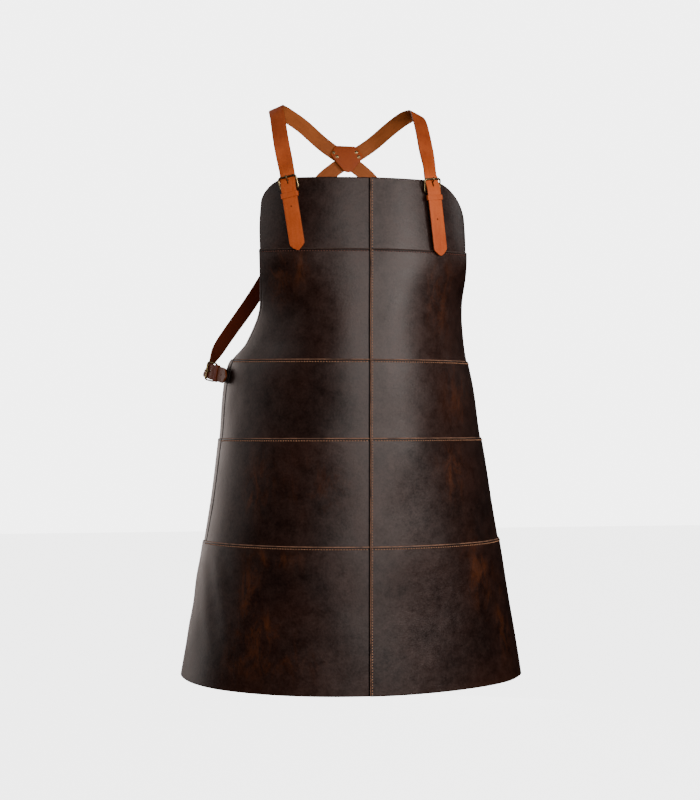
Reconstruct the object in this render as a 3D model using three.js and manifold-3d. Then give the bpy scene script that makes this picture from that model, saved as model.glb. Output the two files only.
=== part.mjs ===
import * as THREE from 'three';
import { mergeVertices } from 'three/addons/utils/BufferGeometryUtils.js';
import Module from 'manifold-3d';

const wasm = await Module();
wasm.setup();

// A leather work apron, in millimetres, hung from its shoulder straps.
// The origin lies between the two shoulder straps, +Z is up and the front faces -Y.
// Left and right are as seen from the front.

// Leather sheet
const LEATHER = 1.6;
const GAP = 0.3;
const LAP_GAP = 0.45;
const PLY = LEATHER + LAP_GAP;
const LAP = 12;
const RAMP = 46;
const FRONT_Y = -240;

// Bib outline
const BIB_TOP = { middle: -152, ends: -147 };
const BIB_CORNER = { left: 38, right: 60 };

// Straps and their buckles
const STRAP_WIDTH = 25;
const STRAP_THICK = 2.4;
const HOLE_RADIUS = 1.3;
const HOLE_REACH = 15;
const PRONG_HOLE = { along: -12.65, length: 8.6, width: 2.8 };
const WIRE_RADIUS = 1.3;
const OUTER_BAR_RADIUS = 1.8;
const FRAME_LENGTH = 20;
const FRAME_WIDTH = 32;
const FRAME_CORNER = 4;
const HEEL_HEIGHT = 3.5;
const OUTER_BAR_HEIGHT = 8.5;
const PRONG_RADIUS = 1.0;
const TAB_WIDTH = 21;
const TAB_LENGTH = 44;
const TAB_SHORTER = 3;
const TAB_SLOT = 5;
const KEEPER = { start: 4.7, end: 12.4, wall: 1.3, lowest: 5.5 };
const RIVET_RADIUS = 4;
const RIVET_HEIGHT = 1.0;
const RIVET_ALONG = 33;

// Horizontal sections of the worn sheet, one row for each height: on each side the half width
// and depth of the elliptic section, and the angle at which the sheet ends.
const SECTIONS = [
  { z: -147, leftWidth: 172, leftDepth: 113, leftEdge: 66, rightWidth: 172, rightDepth: 113, rightEdge: 65 },
  { z: -207, leftWidth: 176, leftDepth: 114, leftEdge: 67, rightWidth: 178, rightDepth: 114, rightEdge: 67 },
  { z: -267, leftWidth: 180, leftDepth: 118, leftEdge: 64, rightWidth: 183, rightDepth: 116, rightEdge: 64.5 },
  { z: -337, leftWidth: 179, leftDepth: 170, leftEdge: 63, rightWidth: 171, rightDepth: 130, rightEdge: 77 },
  { z: -397, leftWidth: 197, leftDepth: 219, leftEdge: 65, rightWidth: 182, rightDepth: 168, rightEdge: 95 },
  { z: -432, leftWidth: 218, leftDepth: 246, leftEdge: 70, rightWidth: 192, rightDepth: 188, rightEdge: 101 },
  { z: -467, leftWidth: 223, leftDepth: 246, leftEdge: 72, rightWidth: 202, rightDepth: 198, rightEdge: 101 },
  { z: -557, leftWidth: 228, leftDepth: 230, leftEdge: 76, rightWidth: 217, rightDepth: 197, rightEdge: 98 },
  { z: -667, leftWidth: 240, leftDepth: 219, leftEdge: 80, rightWidth: 235.5, rightDepth: 188, rightEdge: 96 },
  { z: -807, leftWidth: 260, leftDepth: 216, leftEdge: 86, rightWidth: 261, rightDepth: 185, rightEdge: 95 },
  { z: -945, leftWidth: 282, leftDepth: 218, leftEdge: 92, rightWidth: 284, rightDepth: 183, rightEdge: 94 },
];

// Rows of panels from the top down: the height of each row's lower edge at the middle and at the sides
const ROWS = [
  { name: 'bib', middle: -260, ends: -256 },
  { name: 'chest', middle: -428, ends: -423 },
  { name: 'waist', middle: -548, ends: -551 },
  { name: 'hip', middle: -713, ends: -717 },
  { name: 'skirt', middle: -941, ends: -943 },
];

// Smooth reading of one column of a table, with no overshoot between its rows
function readColumn(table, column, z) {
  const last = table.length - 1;
  const clamped = Math.min(Math.max(z, table[last].z), table[0].z);
  let i = 0;
  while (i < last - 1 && clamped < table[i + 1].z) i += 1;
  const slope = (k) => (table[k + 1][column] - table[k][column]) / (table[k + 1].z - table[k].z);
  const tangent = (k) => {
    if (k === 0) return slope(0);
    if (k === last) return slope(last - 1);
    const before = slope(k - 1);
    const after = slope(k);
    return before * after <= 0 ? 0 : (2 * before * after) / (before + after);
  };
  const run = table[i + 1].z - table[i].z;
  const t = (clamped - table[i].z) / run;
  const rest = 1 - t;
  return table[i][column] * rest * rest * (1 + 2 * t)
    + tangent(i) * run * t * rest * rest
    + table[i + 1][column] * t * t * (3 - 2 * t)
    - tangent(i + 1) * run * t * t * rest;
}

function sectionAt(z, side) {
  const name = side < 0 ? 'left' : 'right';
  return {
    width: readColumn(SECTIONS, `${name}Width`, z),
    depth: readColumn(SECTIONS, `${name}Depth`, z),
    edge: THREE.MathUtils.degToRad(readColumn(SECTIONS, `${name}Edge`, z)),
  };
}

// Point of the sheet at an angle round the body, negative on the left, and its outward direction
function sheetFrame(theta, z) {
  const { width, depth } = sectionAt(z, theta);
  const normal = new THREE.Vector3(Math.sin(theta) / width, -Math.cos(theta) / depth, 0).normalize();
  const point = new THREE.Vector3(width * Math.sin(theta), FRONT_Y + depth * (1 - Math.cos(theta)), z);
  return { point, normal };
}

function lineHeight(line, share) {
  return line.middle + (line.ends - line.middle) * share * share;
}

// Top edge of the bib, rounded off at its two corners
function bibTop(share) {
  const { width, edge } = sectionAt(BIB_TOP.ends, share);
  const radius = share < 0 ? BIB_CORNER.left : BIB_CORNER.right;
  const reach = width * Math.sin(edge);
  const past = width * Math.sin(Math.abs(share) * edge) - (reach - radius);
  const fall = past > 0 ? radius - Math.sqrt(Math.max(radius ** 2 - past ** 2, 0)) : 0;
  return lineHeight(BIB_TOP, share) - fall;
}

// How far up a lapping edge lies at a distance inside that edge, as a share of one ply
function lapLift(distance) {
  return 1 - THREE.MathUtils.smoothstep(distance, LAP + GAP, LAP + GAP + RAMP);
}

// Closed wall between an outer and an inner grid of points; keeps(i, j) tells which cells exist
function gridSolid(columns, rows, pointsAt, keeps) {
  const grid = [];
  for (let j = 0; j < rows; j += 1) {
    for (let i = 0; i < columns; i += 1) grid.push(pointsAt(i, j));
  }
  const node = (i, j) => grid[j * columns + i];
  const inside = (i, j) => i >= 0 && j >= 0 && i < columns - 1 && j < rows - 1 && keeps(i, j);
  const positions = [];
  const triangle = (a, b, c) => positions.push(...a.toArray(), ...b.toArray(), ...c.toArray());
  for (let j = 0; j < rows - 1; j += 1) {
    for (let i = 0; i < columns - 1; i += 1) {
      if (!inside(i, j)) continue;
      const loop = [node(i, j), node(i, j + 1), node(i + 1, j + 1), node(i + 1, j)];
      triangle(loop[0].outer, loop[1].outer, loop[2].outer);
      triangle(loop[0].outer, loop[2].outer, loop[3].outer);
      triangle(loop[0].inner, loop[2].inner, loop[1].inner);
      triangle(loop[0].inner, loop[3].inner, loop[2].inner);
      const neighbours = [inside(i - 1, j), inside(i, j + 1), inside(i + 1, j), inside(i, j - 1)];
      neighbours.forEach((present, k) => {
        if (present) return;
        const from = loop[k];
        const to = loop[(k + 1) % 4];
        triangle(to.outer, from.outer, from.inner);
        triangle(to.outer, from.inner, to.inner);
      });
    }
  }
  const geometry = new THREE.BufferGeometry();
  geometry.setAttribute('position', new THREE.Float32BufferAttribute(positions, 3));
  return geometry;
}

// One leather panel. A lower row laps over the row above it, the right column over the left one.
function panelGeometry(rowIndex, side) {
  const row = ROWS[rowIndex];
  const above = rowIndex > 0 ? ROWS[rowIndex - 1] : null;
  const isHem = rowIndex === ROWS.length - 1;
  const wideCells = rowIndex === 0 ? 13 : 9;
  const tallCells = 6;
  const seamStations = side > 0
    ? [0, LAP + GAP, LAP + GAP + RAMP / 2, LAP + GAP + RAMP]
    : [LAP, -GAP];
  const firstWide = seamStations[seamStations.length - 1];
  const stations = seamStations.map((x) => (z) => Math.asin(x / sectionAt(z, side).width));
  for (let k = 1; k <= wideCells; k += 1) {
    const share = above ? k / wideCells : Math.sin((Math.PI / 2) * (k / wideCells));
    stations.push((z) => {
      const { width, edge } = sectionAt(z, side);
      return THREE.MathUtils.lerp(Math.asin(firstWide / width), side * edge, share);
    });
  }
  if (side < 0) stations.reverse();

  const lapOffsets = above ? [0, LAP + GAP, LAP + GAP + RAMP / 2, LAP + GAP + RAMP] : [0];
  const lastOffset = lapOffsets[lapOffsets.length - 1];
  const depthAt = (j, height) => (j < lapOffsets.length
    ? lapOffsets[j]
    : THREE.MathUtils.lerp(lastOffset, height, (j - lapOffsets.length + 1) / tallCells));

  const nominal = above ? (above.middle + row.middle) / 2 : (BIB_TOP.middle + row.middle) / 2;
  const pointsAt = (i, j) => {
    const share = stations[i](nominal) / sectionAt(nominal, side).edge;
    const top = above ? lineHeight(above, share) : bibTop(share);
    const bottom = lineHeight(row, share) - (isHem ? 0 : LAP);
    const below = depthAt(j, top - bottom);
    const z = top - below;
    const theta = stations[i](z);
    const { point, normal } = sheetFrame(theta, z);
    const lift = PLY * ((above ? lapLift(below) : 0) + (side > 0 ? lapLift(point.x) : 0));
    return {
      outer: point.clone().addScaledVector(normal, lift),
      inner: point.clone().addScaledVector(normal, lift - LEATHER),
    };
  };
  const columns = stations.length;
  const underNeighbour = (i, j) => side < 0 && above !== null && i === columns - 2 && j === 0;
  return gridSolid(columns, lapOffsets.length + tallCells, pointsAt, (i, j) => !underNeighbour(i, j));
}

// Flat strip along stations, each with a centre, a direction across, an outward direction and a half width
function ribbonGeometry(stations, thickness) {
  const columns = stations.length;
  const pointsAt = (i, j) => {
    const { centre, across, normal, half } = stations[i];
    const edge = centre.clone().addScaledVector(across, j === 0 ? half : -half);
    return {
      outer: edge.clone().addScaledVector(normal, thickness / 2),
      inner: edge.clone().addScaledVector(normal, -thickness / 2),
    };
  };
  return gridSolid(columns, 2, pointsAt, () => true);
}

// Round bar along a list of points, with a radius for each; a closed one joins its ends
function barGeometry(points, radii, closed, sides = 8) {
  const count = points.length;
  const rings = points.map((point, k) => {
    const before = points[closed ? (k + count - 1) % count : Math.max(k - 1, 0)];
    const after = points[closed ? (k + 1) % count : Math.min(k + 1, count - 1)];
    const tangent = after.clone().sub(before).normalize();
    const reference = Math.abs(tangent.z) < 0.9 ? new THREE.Vector3(0, 0, 1) : new THREE.Vector3(0, 1, 0);
    const u = new THREE.Vector3().crossVectors(tangent, reference).normalize();
    const v = new THREE.Vector3().crossVectors(tangent, u);
    return Array.from({ length: sides }, (_, s) => {
      const turn = (2 * Math.PI * s) / sides;
      return point.clone().addScaledVector(u, radii[k] * Math.cos(turn)).addScaledVector(v, radii[k] * Math.sin(turn));
    });
  });
  const positions = [];
  const triangle = (a, b, c) => positions.push(...a.toArray(), ...b.toArray(), ...c.toArray());
  const spans = closed ? count : count - 1;
  for (let k = 0; k < spans; k += 1) {
    const near = rings[k];
    const far = rings[(k + 1) % count];
    for (let s = 0; s < sides; s += 1) {
      const t = (s + 1) % sides;
      triangle(near[s], near[t], far[t]);
      triangle(near[s], far[t], far[s]);
    }
  }
  if (!closed) {
    for (let s = 1; s < sides - 1; s += 1) {
      triangle(rings[0][0], rings[0][s + 1], rings[0][s]);
      triangle(rings[count - 1][0], rings[count - 1][s], rings[count - 1][s + 1]);
    }
  }
  const geometry = new THREE.BufferGeometry();
  geometry.setAttribute('position', new THREE.Float32BufferAttribute(positions, 3));
  return geometry;
}

function toManifold(geometry) {
  const bare = geometry.index ? geometry.toNonIndexed() : geometry.clone();
  bare.deleteAttribute('normal');
  bare.deleteAttribute('uv');
  const merged = mergeVertices(bare, 1e-4);
  const mesh = new wasm.Mesh({
    numProp: 3,
    vertProperties: new Float32Array(merged.attributes.position.array),
    triVerts: new Uint32Array(merged.index.array),
  });
  return new wasm.Manifold(mesh);
}

function fromManifold(solid) {
  const mesh = solid.getMesh();
  const geometry = new THREE.BufferGeometry();
  geometry.setAttribute('position', new THREE.BufferAttribute(new Float32Array(mesh.vertProperties), 3));
  geometry.setIndex(new THREE.BufferAttribute(new Uint32Array(mesh.triVerts), 1));
  return geometry.toNonIndexed();
}

function cut(geometry, tools) {
  return fromManifold(tools.reduce((solid, tool) => solid.subtract(toManifold(tool)), toManifold(geometry)));
}

function join(geometries) {
  return fromManifold(geometries.map(toManifold).reduce((sum, solid) => sum.add(solid)));
}

// Places of the four buckles. Each local frame has x across the strap, y along it towards the strap's
// free end, z outward, with its zero on the heel bar; the tab touches the sheet at TAB_SEAT along it.
// A side buckle stands off the lapped edge of the leather and flares out from it, bending its tab there.
// The tail is how far the strap's free end reaches, and the holes are the places along it of the two
// round holes on either side of the one in use.
const TAB_SEAT = 22;
const BUCKLES = {
  front_left: { side: -1, fromSeam: -113.5, z: -192, lean: 12, stand: 0, flare: 0, tail: 94, holes: [-32, 26] },
  front_right: { side: 1, fromSeam: 102, z: -192, lean: 4.5, stand: 0, flare: 0, tail: 98, holes: [-32, 42] },
  side_left: { side: -1, fromEdge: 2, z: -449, lean: 83, stand: 2.1, flare: 15, tail: 44, holes: [-32, 26] },
  side_right: { side: 1, fromEdge: 1, z: -449, lean: -72, stand: 2.5, flare: -8, tail: 44, holes: [-32, 26] },
};

function buckleFrame({ side, fromSeam, fromEdge, z, lean, stand, flare }) {
  const { width, depth, edge } = sectionAt(z, side);
  const theta = fromSeam !== undefined ? Math.asin(fromSeam / width) : side * (edge - fromEdge / depth);
  const { point, normal } = sheetFrame(theta, z);
  const upSheet = sheetFrame(theta, z + 10).point.sub(sheetFrame(theta, z - 10).point).normalize();
  const outward = normal.clone().addScaledVector(upSheet, -normal.dot(upSheet)).normalize();
  const along = upSheet.clone().negate().applyAxisAngle(outward, THREE.MathUtils.degToRad(lean));
  const across = new THREE.Vector3().crossVectors(along, outward);
  const seat = point.clone().addScaledVector(outward, stand);
  const turned = new THREE.Matrix4().makeBasis(across, along, outward).setPosition(seat);
  turned.multiply(new THREE.Matrix4().makeRotationX(THREE.MathUtils.degToRad(-flare)));
  return turned.multiply(new THREE.Matrix4().makeTranslation(0, -TAB_SEAT, 0));
}

// Height of the sheet above a buckle's own plane, past the bend of a flared tab
function sheetRise(along, flare) {
  return Math.max(along - TAB_SEAT, 0) * Math.tan(THREE.MathUtils.degToRad(flare));
}

function localStations(table, half) {
  return table.map(({ along, height }, k) => {
    const before = table[Math.max(k - 1, 0)];
    const after = table[Math.min(k + 1, table.length - 1)];
    const tangent = new THREE.Vector3(0, after.along - before.along, after.height - before.height).normalize();
    const across = new THREE.Vector3(1, 0, 0);
    return {
      centre: new THREE.Vector3(0, along, height),
      across,
      normal: new THREE.Vector3().crossVectors(tangent, across),
      half,
    };
  });
}

// Rectangular wire frame, its outer bar thicker and raised above the strap
function frameGeometry() {
  const points = [];
  const radii = [];
  const x = FRAME_WIDTH / 2 - WIRE_RADIUS;
  const corners = [
    { x, y: 0, from: 0 },
    { x: -x, y: 0, from: 90 },
    { x: -x, y: -FRAME_LENGTH, from: 180 },
    { x, y: -FRAME_LENGTH, from: 270 },
  ];
  corners.forEach((corner) => {
    const centreX = corner.x - Math.sign(corner.x) * FRAME_CORNER;
    const centreY = corner.y + (corner.y === 0 ? -FRAME_CORNER : FRAME_CORNER);
    for (let k = 0; k <= 3; k += 1) {
      const turn = THREE.MathUtils.degToRad(corner.from + 30 * k);
      const y = centreY + FRAME_CORNER * Math.sin(turn);
      const rise = (OUTER_BAR_HEIGHT - HEEL_HEIGHT) * (-y / FRAME_LENGTH);
      points.push(new THREE.Vector3(centreX + FRAME_CORNER * Math.cos(turn), y, HEEL_HEIGHT + rise));
      const swell = THREE.MathUtils.smoothstep(-y, FRAME_LENGTH - FRAME_CORNER, FRAME_LENGTH);
      radii.push(THREE.MathUtils.lerp(WIRE_RADIUS, OUTER_BAR_RADIUS, swell));
    }
  });
  return barGeometry(points, radii, true);
}

// Prong: an eye round the heel bar and a bar that comes up through the strap onto the outer bar
function prongGeometry() {
  const eyeRadius = WIRE_RADIUS + GAP + PRONG_RADIUS;
  const eye = new THREE.TorusGeometry(eyeRadius, PRONG_RADIUS, 6, 14);
  eye.rotateY(Math.PI / 2);
  eye.translate(0, 0, HEEL_HEIGHT);
  const tipHeight = OUTER_BAR_HEIGHT + OUTER_BAR_RADIUS + GAP + PRONG_RADIUS;
  const route = [
    { along: -eyeRadius, height: HEEL_HEIGHT },
    { along: -7, height: 4.4 },
    { along: -10.4, height: 5.4 },
    { along: -14.6, height: 7.8 },
    { along: -FRAME_LENGTH + 1.5, height: tipHeight },
    { along: -FRAME_LENGTH - 2.5, height: tipHeight },
  ];
  const points = route.map(({ along, height }) => new THREE.Vector3(0, along, height));
  const bar = barGeometry(points, points.map(() => PRONG_RADIUS), false, 6);
  return join([eye, bar]);
}

// Tab: lies on the sheet, turns round the heel bar and comes back on itself, slotted for the prong
function tabGeometry({ flare }) {
  const lower = GAP + LEATHER / 2;
  const upper = lower + LEATHER + GAP;
  const turnRadius = HEEL_HEIGHT - lower;
  const route = [
    { along: TAB_LENGTH, height: lower + sheetRise(TAB_LENGTH, flare) },
    { along: TAB_SEAT, height: lower },
  ];
  for (let k = 0; k <= 6; k += 1) {
    const turn = (Math.PI * k) / 6;
    route.push({ along: -turnRadius * Math.sin(turn), height: HEEL_HEIGHT - turnRadius * Math.cos(turn) });
  }
  route.push(
    { along: 4, height: 4.4 },
    { along: 14, height: upper },
    { along: TAB_SEAT, height: upper },
    { along: TAB_LENGTH - TAB_SHORTER, height: upper + sheetRise(TAB_LENGTH - TAB_SHORTER, flare) },
  );
  const strip = ribbonGeometry(localStations(route, TAB_WIDTH / 2), LEATHER);
  const slot = new THREE.BoxGeometry(TAB_SLOT, 12, 16);
  slot.translate(0, -1, HEEL_HEIGHT);
  return cut(strip, [slot]);
}

// Keeper: a closed band round the strap, on top of the tab
function keeperGeometry() {
  const inner = { half: STRAP_WIDTH / 2 + GAP, low: KEEPER.lowest + KEEPER.wall };
  const high = inner.low + STRAP_THICK + 2 * GAP;
  const outline = (grow) => [
    new THREE.Vector2(-inner.half - grow, inner.low - grow),
    new THREE.Vector2(inner.half + grow, inner.low - grow),
    new THREE.Vector2(inner.half + grow, high + grow),
    new THREE.Vector2(-inner.half - grow, high + grow),
  ];
  const shape = new THREE.Shape(outline(KEEPER.wall));
  shape.holes.push(new THREE.Path(outline(0).reverse()));
  const band = new THREE.ExtrudeGeometry(shape, { depth: KEEPER.end - KEEPER.start, bevelEnabled: false });
  band.rotateX(Math.PI / 2);
  band.translate(0, KEEPER.end, 0);
  return band;
}

// Low domed rivet head standing on a face
function rivetGeometry(radius, height) {
  const profile = [
    new THREE.Vector2(0, 0),
    new THREE.Vector2(radius, 0),
    new THREE.Vector2(radius * 0.9, height * 0.6),
    new THREE.Vector2(radius * 0.5, height),
    new THREE.Vector2(0, height),
  ];
  const rivet = new THREE.LatheGeometry(profile, 12);
  rivet.rotateX(Math.PI / 2);
  return rivet;
}

// The strap's way through a buckle, from the free end: along the local frame and above the sheet
const STRAP_SEAT = KEEPER.lowest + KEEPER.wall + GAP + STRAP_THICK / 2;
const BUCKLE_WAY = [
  { along: 30, height: STRAP_SEAT },
  { along: KEEPER.end + 1, height: STRAP_SEAT },
  { along: KEEPER.start - 1, height: STRAP_SEAT },
  { along: 0, height: 8.5 },
  { along: -5, height: 8.3 },
  { along: -10, height: 7.4 },
  { along: -15, height: 6.1 },
  { along: -FRAME_LENGTH, height: OUTER_BAR_HEIGHT - OUTER_BAR_RADIUS - GAP - STRAP_THICK / 2 },
  { along: -FRAME_LENGTH - 7, height: 4.6 },
];

// Ways of the two straps between the front buckle and the side buckle on the other side, each row a
// point and the outward direction there. strap_a comes over the left shoulder, strap_b over the right.
const STRAP_WAYS = {
  strap_a: {
    front: 'front_left',
    side: 'side_right',
    way: [
      { x: -127, y: -168, z: -92, nx: -0.2, ny: -0.9, nz: 0.36 },
      { x: -126, y: -80, z: -30, nx: -0.25, ny: -0.63, nz: 0.72 },
      { x: -124, y: -24, z: -2, nx: -0.42, ny: -0.35, nz: 0.84 },
      { x: -117, y: 4, z: 3, nx: -0.42, ny: 0.3, nz: 0.86 },
      { x: -99, y: 22, z: -3, nx: -0.3, ny: 0.75, nz: 0.6 },
      { x: -73, y: 42, z: -14.5, nx: -0.12, ny: 0.9, nz: 0.4 },
      { x: -34, y: 68, z: -39.5, nx: 0, ny: 0.97, nz: 0.2 },
      { x: -12, y: 74.5, z: -53, nx: 0, ny: 1, nz: 0 },
      { x: 10, y: 75, z: -66, nx: 0, ny: 1, nz: 0 },
      { x: 34, y: 75, z: -83, nx: 0, ny: 1, nz: 0 },
      { x: 56, y: 75.5, z: -104, nx: 0, ny: 1, nz: 0 },
      { x: 110, y: 82, z: -200, nx: 0.15, ny: 0.98, nz: 0 },
      { x: 158, y: 62, z: -307, nx: 0.4, ny: 0.9, nz: 0 },
      { x: 194, y: 36, z: -376, nx: 0.7, ny: 0.7, nz: 0 },
    ],
  },
  strap_b: {
    front: 'front_right',
    side: 'side_left',
    way: [
      { x: 101, y: -172, z: -92, nx: 0.15, ny: -0.9, nz: 0.36 },
      { x: 110, y: -80, z: -30, nx: 0.2, ny: -0.63, nz: 0.72 },
      { x: 114, y: -24, z: -3, nx: 0.42, ny: -0.35, nz: 0.84 },
      { x: 113, y: 4, z: 2, nx: 0.42, ny: 0.3, nz: 0.86 },
      { x: 101, y: 22, z: -1.5, nx: 0.3, ny: 0.75, nz: 0.6 },
      { x: 84, y: 42, z: -12.5, nx: 0.12, ny: 0.9, nz: 0.4 },
      { x: 52, y: 71, z: -38, nx: 0, ny: 0.97, nz: 0.2 },
      { x: 31, y: 77.8, z: -52, nx: 0, ny: 1, nz: 0 },
      { x: 10, y: 78.4, z: -66, nx: 0, ny: 1, nz: 0 },
      { x: -14, y: 78.4, z: -83, nx: 0, ny: 1, nz: 0 },
      { x: -37, y: 80, z: -104, nx: 0, ny: 1, nz: 0 },
      { x: -91, y: 84, z: -203, nx: -0.15, ny: 0.98, nz: 0 },
      { x: -155, y: 62, z: -310, nx: -0.4, ny: 0.9, nz: 0 },
      { x: -211, y: 18, z: -391, nx: -0.6, ny: 0.8, nz: 0 },
    ],
  },
};

// Free ends: each reaches as far as its buckle's tail says, and its tip stands off the sheet by a lift
const TAIL_LIFT = 7.4;
const TIP_LENGTH = 9;
const TIP_HALF = 1.6;

function tailStations(length) {
  const shoulder = length - TIP_LENGTH;
  const rows = [
    { along: length, half: TIP_HALF },
    { along: length - TIP_LENGTH * 0.35, half: STRAP_WIDTH * 0.26 },
    { along: shoulder, half: STRAP_WIDTH / 2 },
    { along: (shoulder + BUCKLE_WAY[0].along) / 2, half: STRAP_WIDTH / 2 },
  ];
  return rows.map(({ along, half }) => {
    const share = (along - BUCKLE_WAY[0].along) / (length - BUCKLE_WAY[0].along);
    return { along, height: THREE.MathUtils.lerp(BUCKLE_WAY[0].height, TAIL_LIFT, share), half };
  });
}

// World points of a strap's stretch in a buckle, from the free end inward
function buckleStretch(buckle) {
  const frame = buckleFrame(buckle);
  const outward = new THREE.Vector3().setFromMatrixColumn(frame, 2);
  const rows = [...tailStations(buckle.tail), ...BUCKLE_WAY.map((row) => ({ ...row, half: STRAP_WIDTH / 2 }))];
  return rows.map(({ along, height, half }) => ({
    centre: new THREE.Vector3(0, along, height + sheetRise(along, buckle.flare)).applyMatrix4(frame),
    outward,
    half,
  }));
}

function strapStations({ front, side, way }) {
  const start = buckleStretch(BUCKLES[front]);
  const end = buckleStretch(BUCKLES[side]).reverse();
  const middle = way.map(({ x, y, z, nx, ny, nz }) => ({
    centre: new THREE.Vector3(x, y, z),
    outward: new THREE.Vector3(nx, ny, nz).normalize(),
    half: STRAP_WIDTH / 2,
  }));
  const knots = [...start, ...middle, ...end];
  const curve = new THREE.CatmullRomCurve3(knots.map((knot) => knot.centre), false, 'centripetal');
  const spans = knots.length - 1;
  const stations = [];
  for (let k = 0; k < spans; k += 1) {
    const inBuckle = k < start.length - 1 || k >= start.length + middle.length;
    const pieces = inBuckle ? 1 : 3;
    for (let p = 0; p < pieces; p += 1) {
      const t = p / pieces;
      stations.push(stationAt(curve, knots, k, t, spans));
    }
  }
  stations.push(stationAt(curve, knots, spans - 1, 1, spans));
  return stations;
}

function stationAt(curve, knots, k, t, spans) {
  const tangent = curve.getTangent((k + t) / spans);
  const outward = knots[k].outward.clone().lerp(knots[k + 1].outward, t);
  const across = new THREE.Vector3().crossVectors(outward, tangent).normalize();
  return {
    centre: curve.getPoint((k + t) / spans),
    across,
    normal: new THREE.Vector3().crossVectors(tangent, across).normalize(),
    half: THREE.MathUtils.lerp(knots[k].half, knots[k + 1].half, t),
  };
}

// Punched holes of one strap end: the long one that the prong fills and a round one on either side
function holeTools(buckle) {
  const frame = buckleFrame(buckle);
  const long = new THREE.BoxGeometry(PRONG_HOLE.width, PRONG_HOLE.length, HOLE_REACH);
  long.translate(0, PRONG_HOLE.along, HOLE_REACH / 2);
  const round = buckle.holes.map((along) => {
    const hole = new THREE.CylinderGeometry(HOLE_RADIUS, HOLE_RADIUS, 2 * HOLE_REACH, 10);
    hole.rotateX(Math.PI / 2);
    hole.translate(0, along, 0);
    return hole;
  });
  return [long, ...round].map((tool) => tool.applyMatrix4(frame));
}

function strapGeometry(strap) {
  const ribbon = ribbonGeometry(strapStations(strap), STRAP_THICK);
  return cut(ribbon, [strap.front, strap.side].flatMap((name) => holeTools(BUCKLES[name])));
}

// Patch over the crossing, on the inner side of the straps, and its four rivets
const CROSSING = { x: 8, y: 71.9, z: -63, turn: 4 };
const PATCH_OUTLINE = [
  { x: -29, z: 6 },
  { x: -20, z: 22 },
  { x: 17, z: 22 },
  { x: 31, z: 4 },
  { x: 9, z: -24 },
  { x: -3, z: -24 },
];
const PATCH_RIVETS = [
  { x: -23, z: 9.5 },
  { x: -17, z: 3 },
  { x: 18, z: 12 },
  { x: 22, z: 4 },
];
const PATCH_RIVET_RADIUS = 2.8;

function patchGeometry() {
  const shape = new THREE.Shape(PATCH_OUTLINE.map(({ x, z }) => new THREE.Vector2(x, z)));
  const patch = new THREE.ExtrudeGeometry(shape, { depth: LEATHER, bevelEnabled: false });
  patch.rotateX(Math.PI / 2);
  return patch;
}

const panelLeather = () => new THREE.MeshStandardMaterial({ color: 0x35241d, roughness: 0.5, metalness: 0 });
const strapLeather = () => new THREE.MeshStandardMaterial({ color: 0xb5561f, roughness: 0.5, metalness: 0 });
const brass = () => new THREE.MeshStandardMaterial({ color: 0x8a7346, roughness: 0.35, metalness: 1 });

const apron = new THREE.Group();

function place(name, geometry, material, matrix) {
  const mesh = new THREE.Mesh(geometry, material);
  mesh.name = name;
  if (matrix) mesh.applyMatrix4(matrix);
  apron.add(mesh);
}

ROWS.forEach((row, index) => {
  place(`${row.name}_left`, panelGeometry(index, -1), panelLeather());
  place(`${row.name}_right`, panelGeometry(index, 1), panelLeather());
});

Object.entries(STRAP_WAYS).forEach(([name, strap]) => place(name, strapGeometry(strap), strapLeather()));

Object.entries(BUCKLES).forEach(([name, buckle]) => {
  const frame = buckleFrame(buckle);
  place(`${name}_buckle`, frameGeometry(), brass(), frame);
  place(`${name}_prong`, prongGeometry(), brass(), frame);
  place(`${name}_tab`, tabGeometry(buckle), panelLeather(), frame);
  place(`${name}_keeper`, keeperGeometry(), strapLeather(), frame);
  const seat = frame.clone();
  seat.multiply(new THREE.Matrix4().makeTranslation(0, RIVET_ALONG, sheetRise(RIVET_ALONG, buckle.flare)));
  seat.multiply(new THREE.Matrix4().makeRotationX(THREE.MathUtils.degToRad(buckle.flare)));
  seat.multiply(new THREE.Matrix4().makeTranslation(0, 0, 2 * (GAP + LEATHER) + GAP));
  place(`${name}_rivet`, rivetGeometry(RIVET_RADIUS, RIVET_HEIGHT), brass(), seat);
});

const patchFrame = new THREE.Matrix4().makeRotationZ(THREE.MathUtils.degToRad(CROSSING.turn));
patchFrame.setPosition(CROSSING.x, CROSSING.y, CROSSING.z);
place('cross_patch', patchGeometry(), strapLeather(), patchFrame);
PATCH_RIVETS.forEach(({ x, z }, index) => {
  const inward = new THREE.Matrix4().makeRotationX(Math.PI / 2);
  inward.setPosition(x, -LEATHER - GAP, z);
  const rivet = rivetGeometry(PATCH_RIVET_RADIUS, RIVET_HEIGHT);
  place(`cross_rivet_${index + 1}`, rivet, brass(), patchFrame.clone().multiply(inward));
});

export default apron;
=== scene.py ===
import math

import bmesh
import bpy
import numpy as np
from mathutils import Matrix, Vector
from mathutils.kdtree import KDTree


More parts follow.
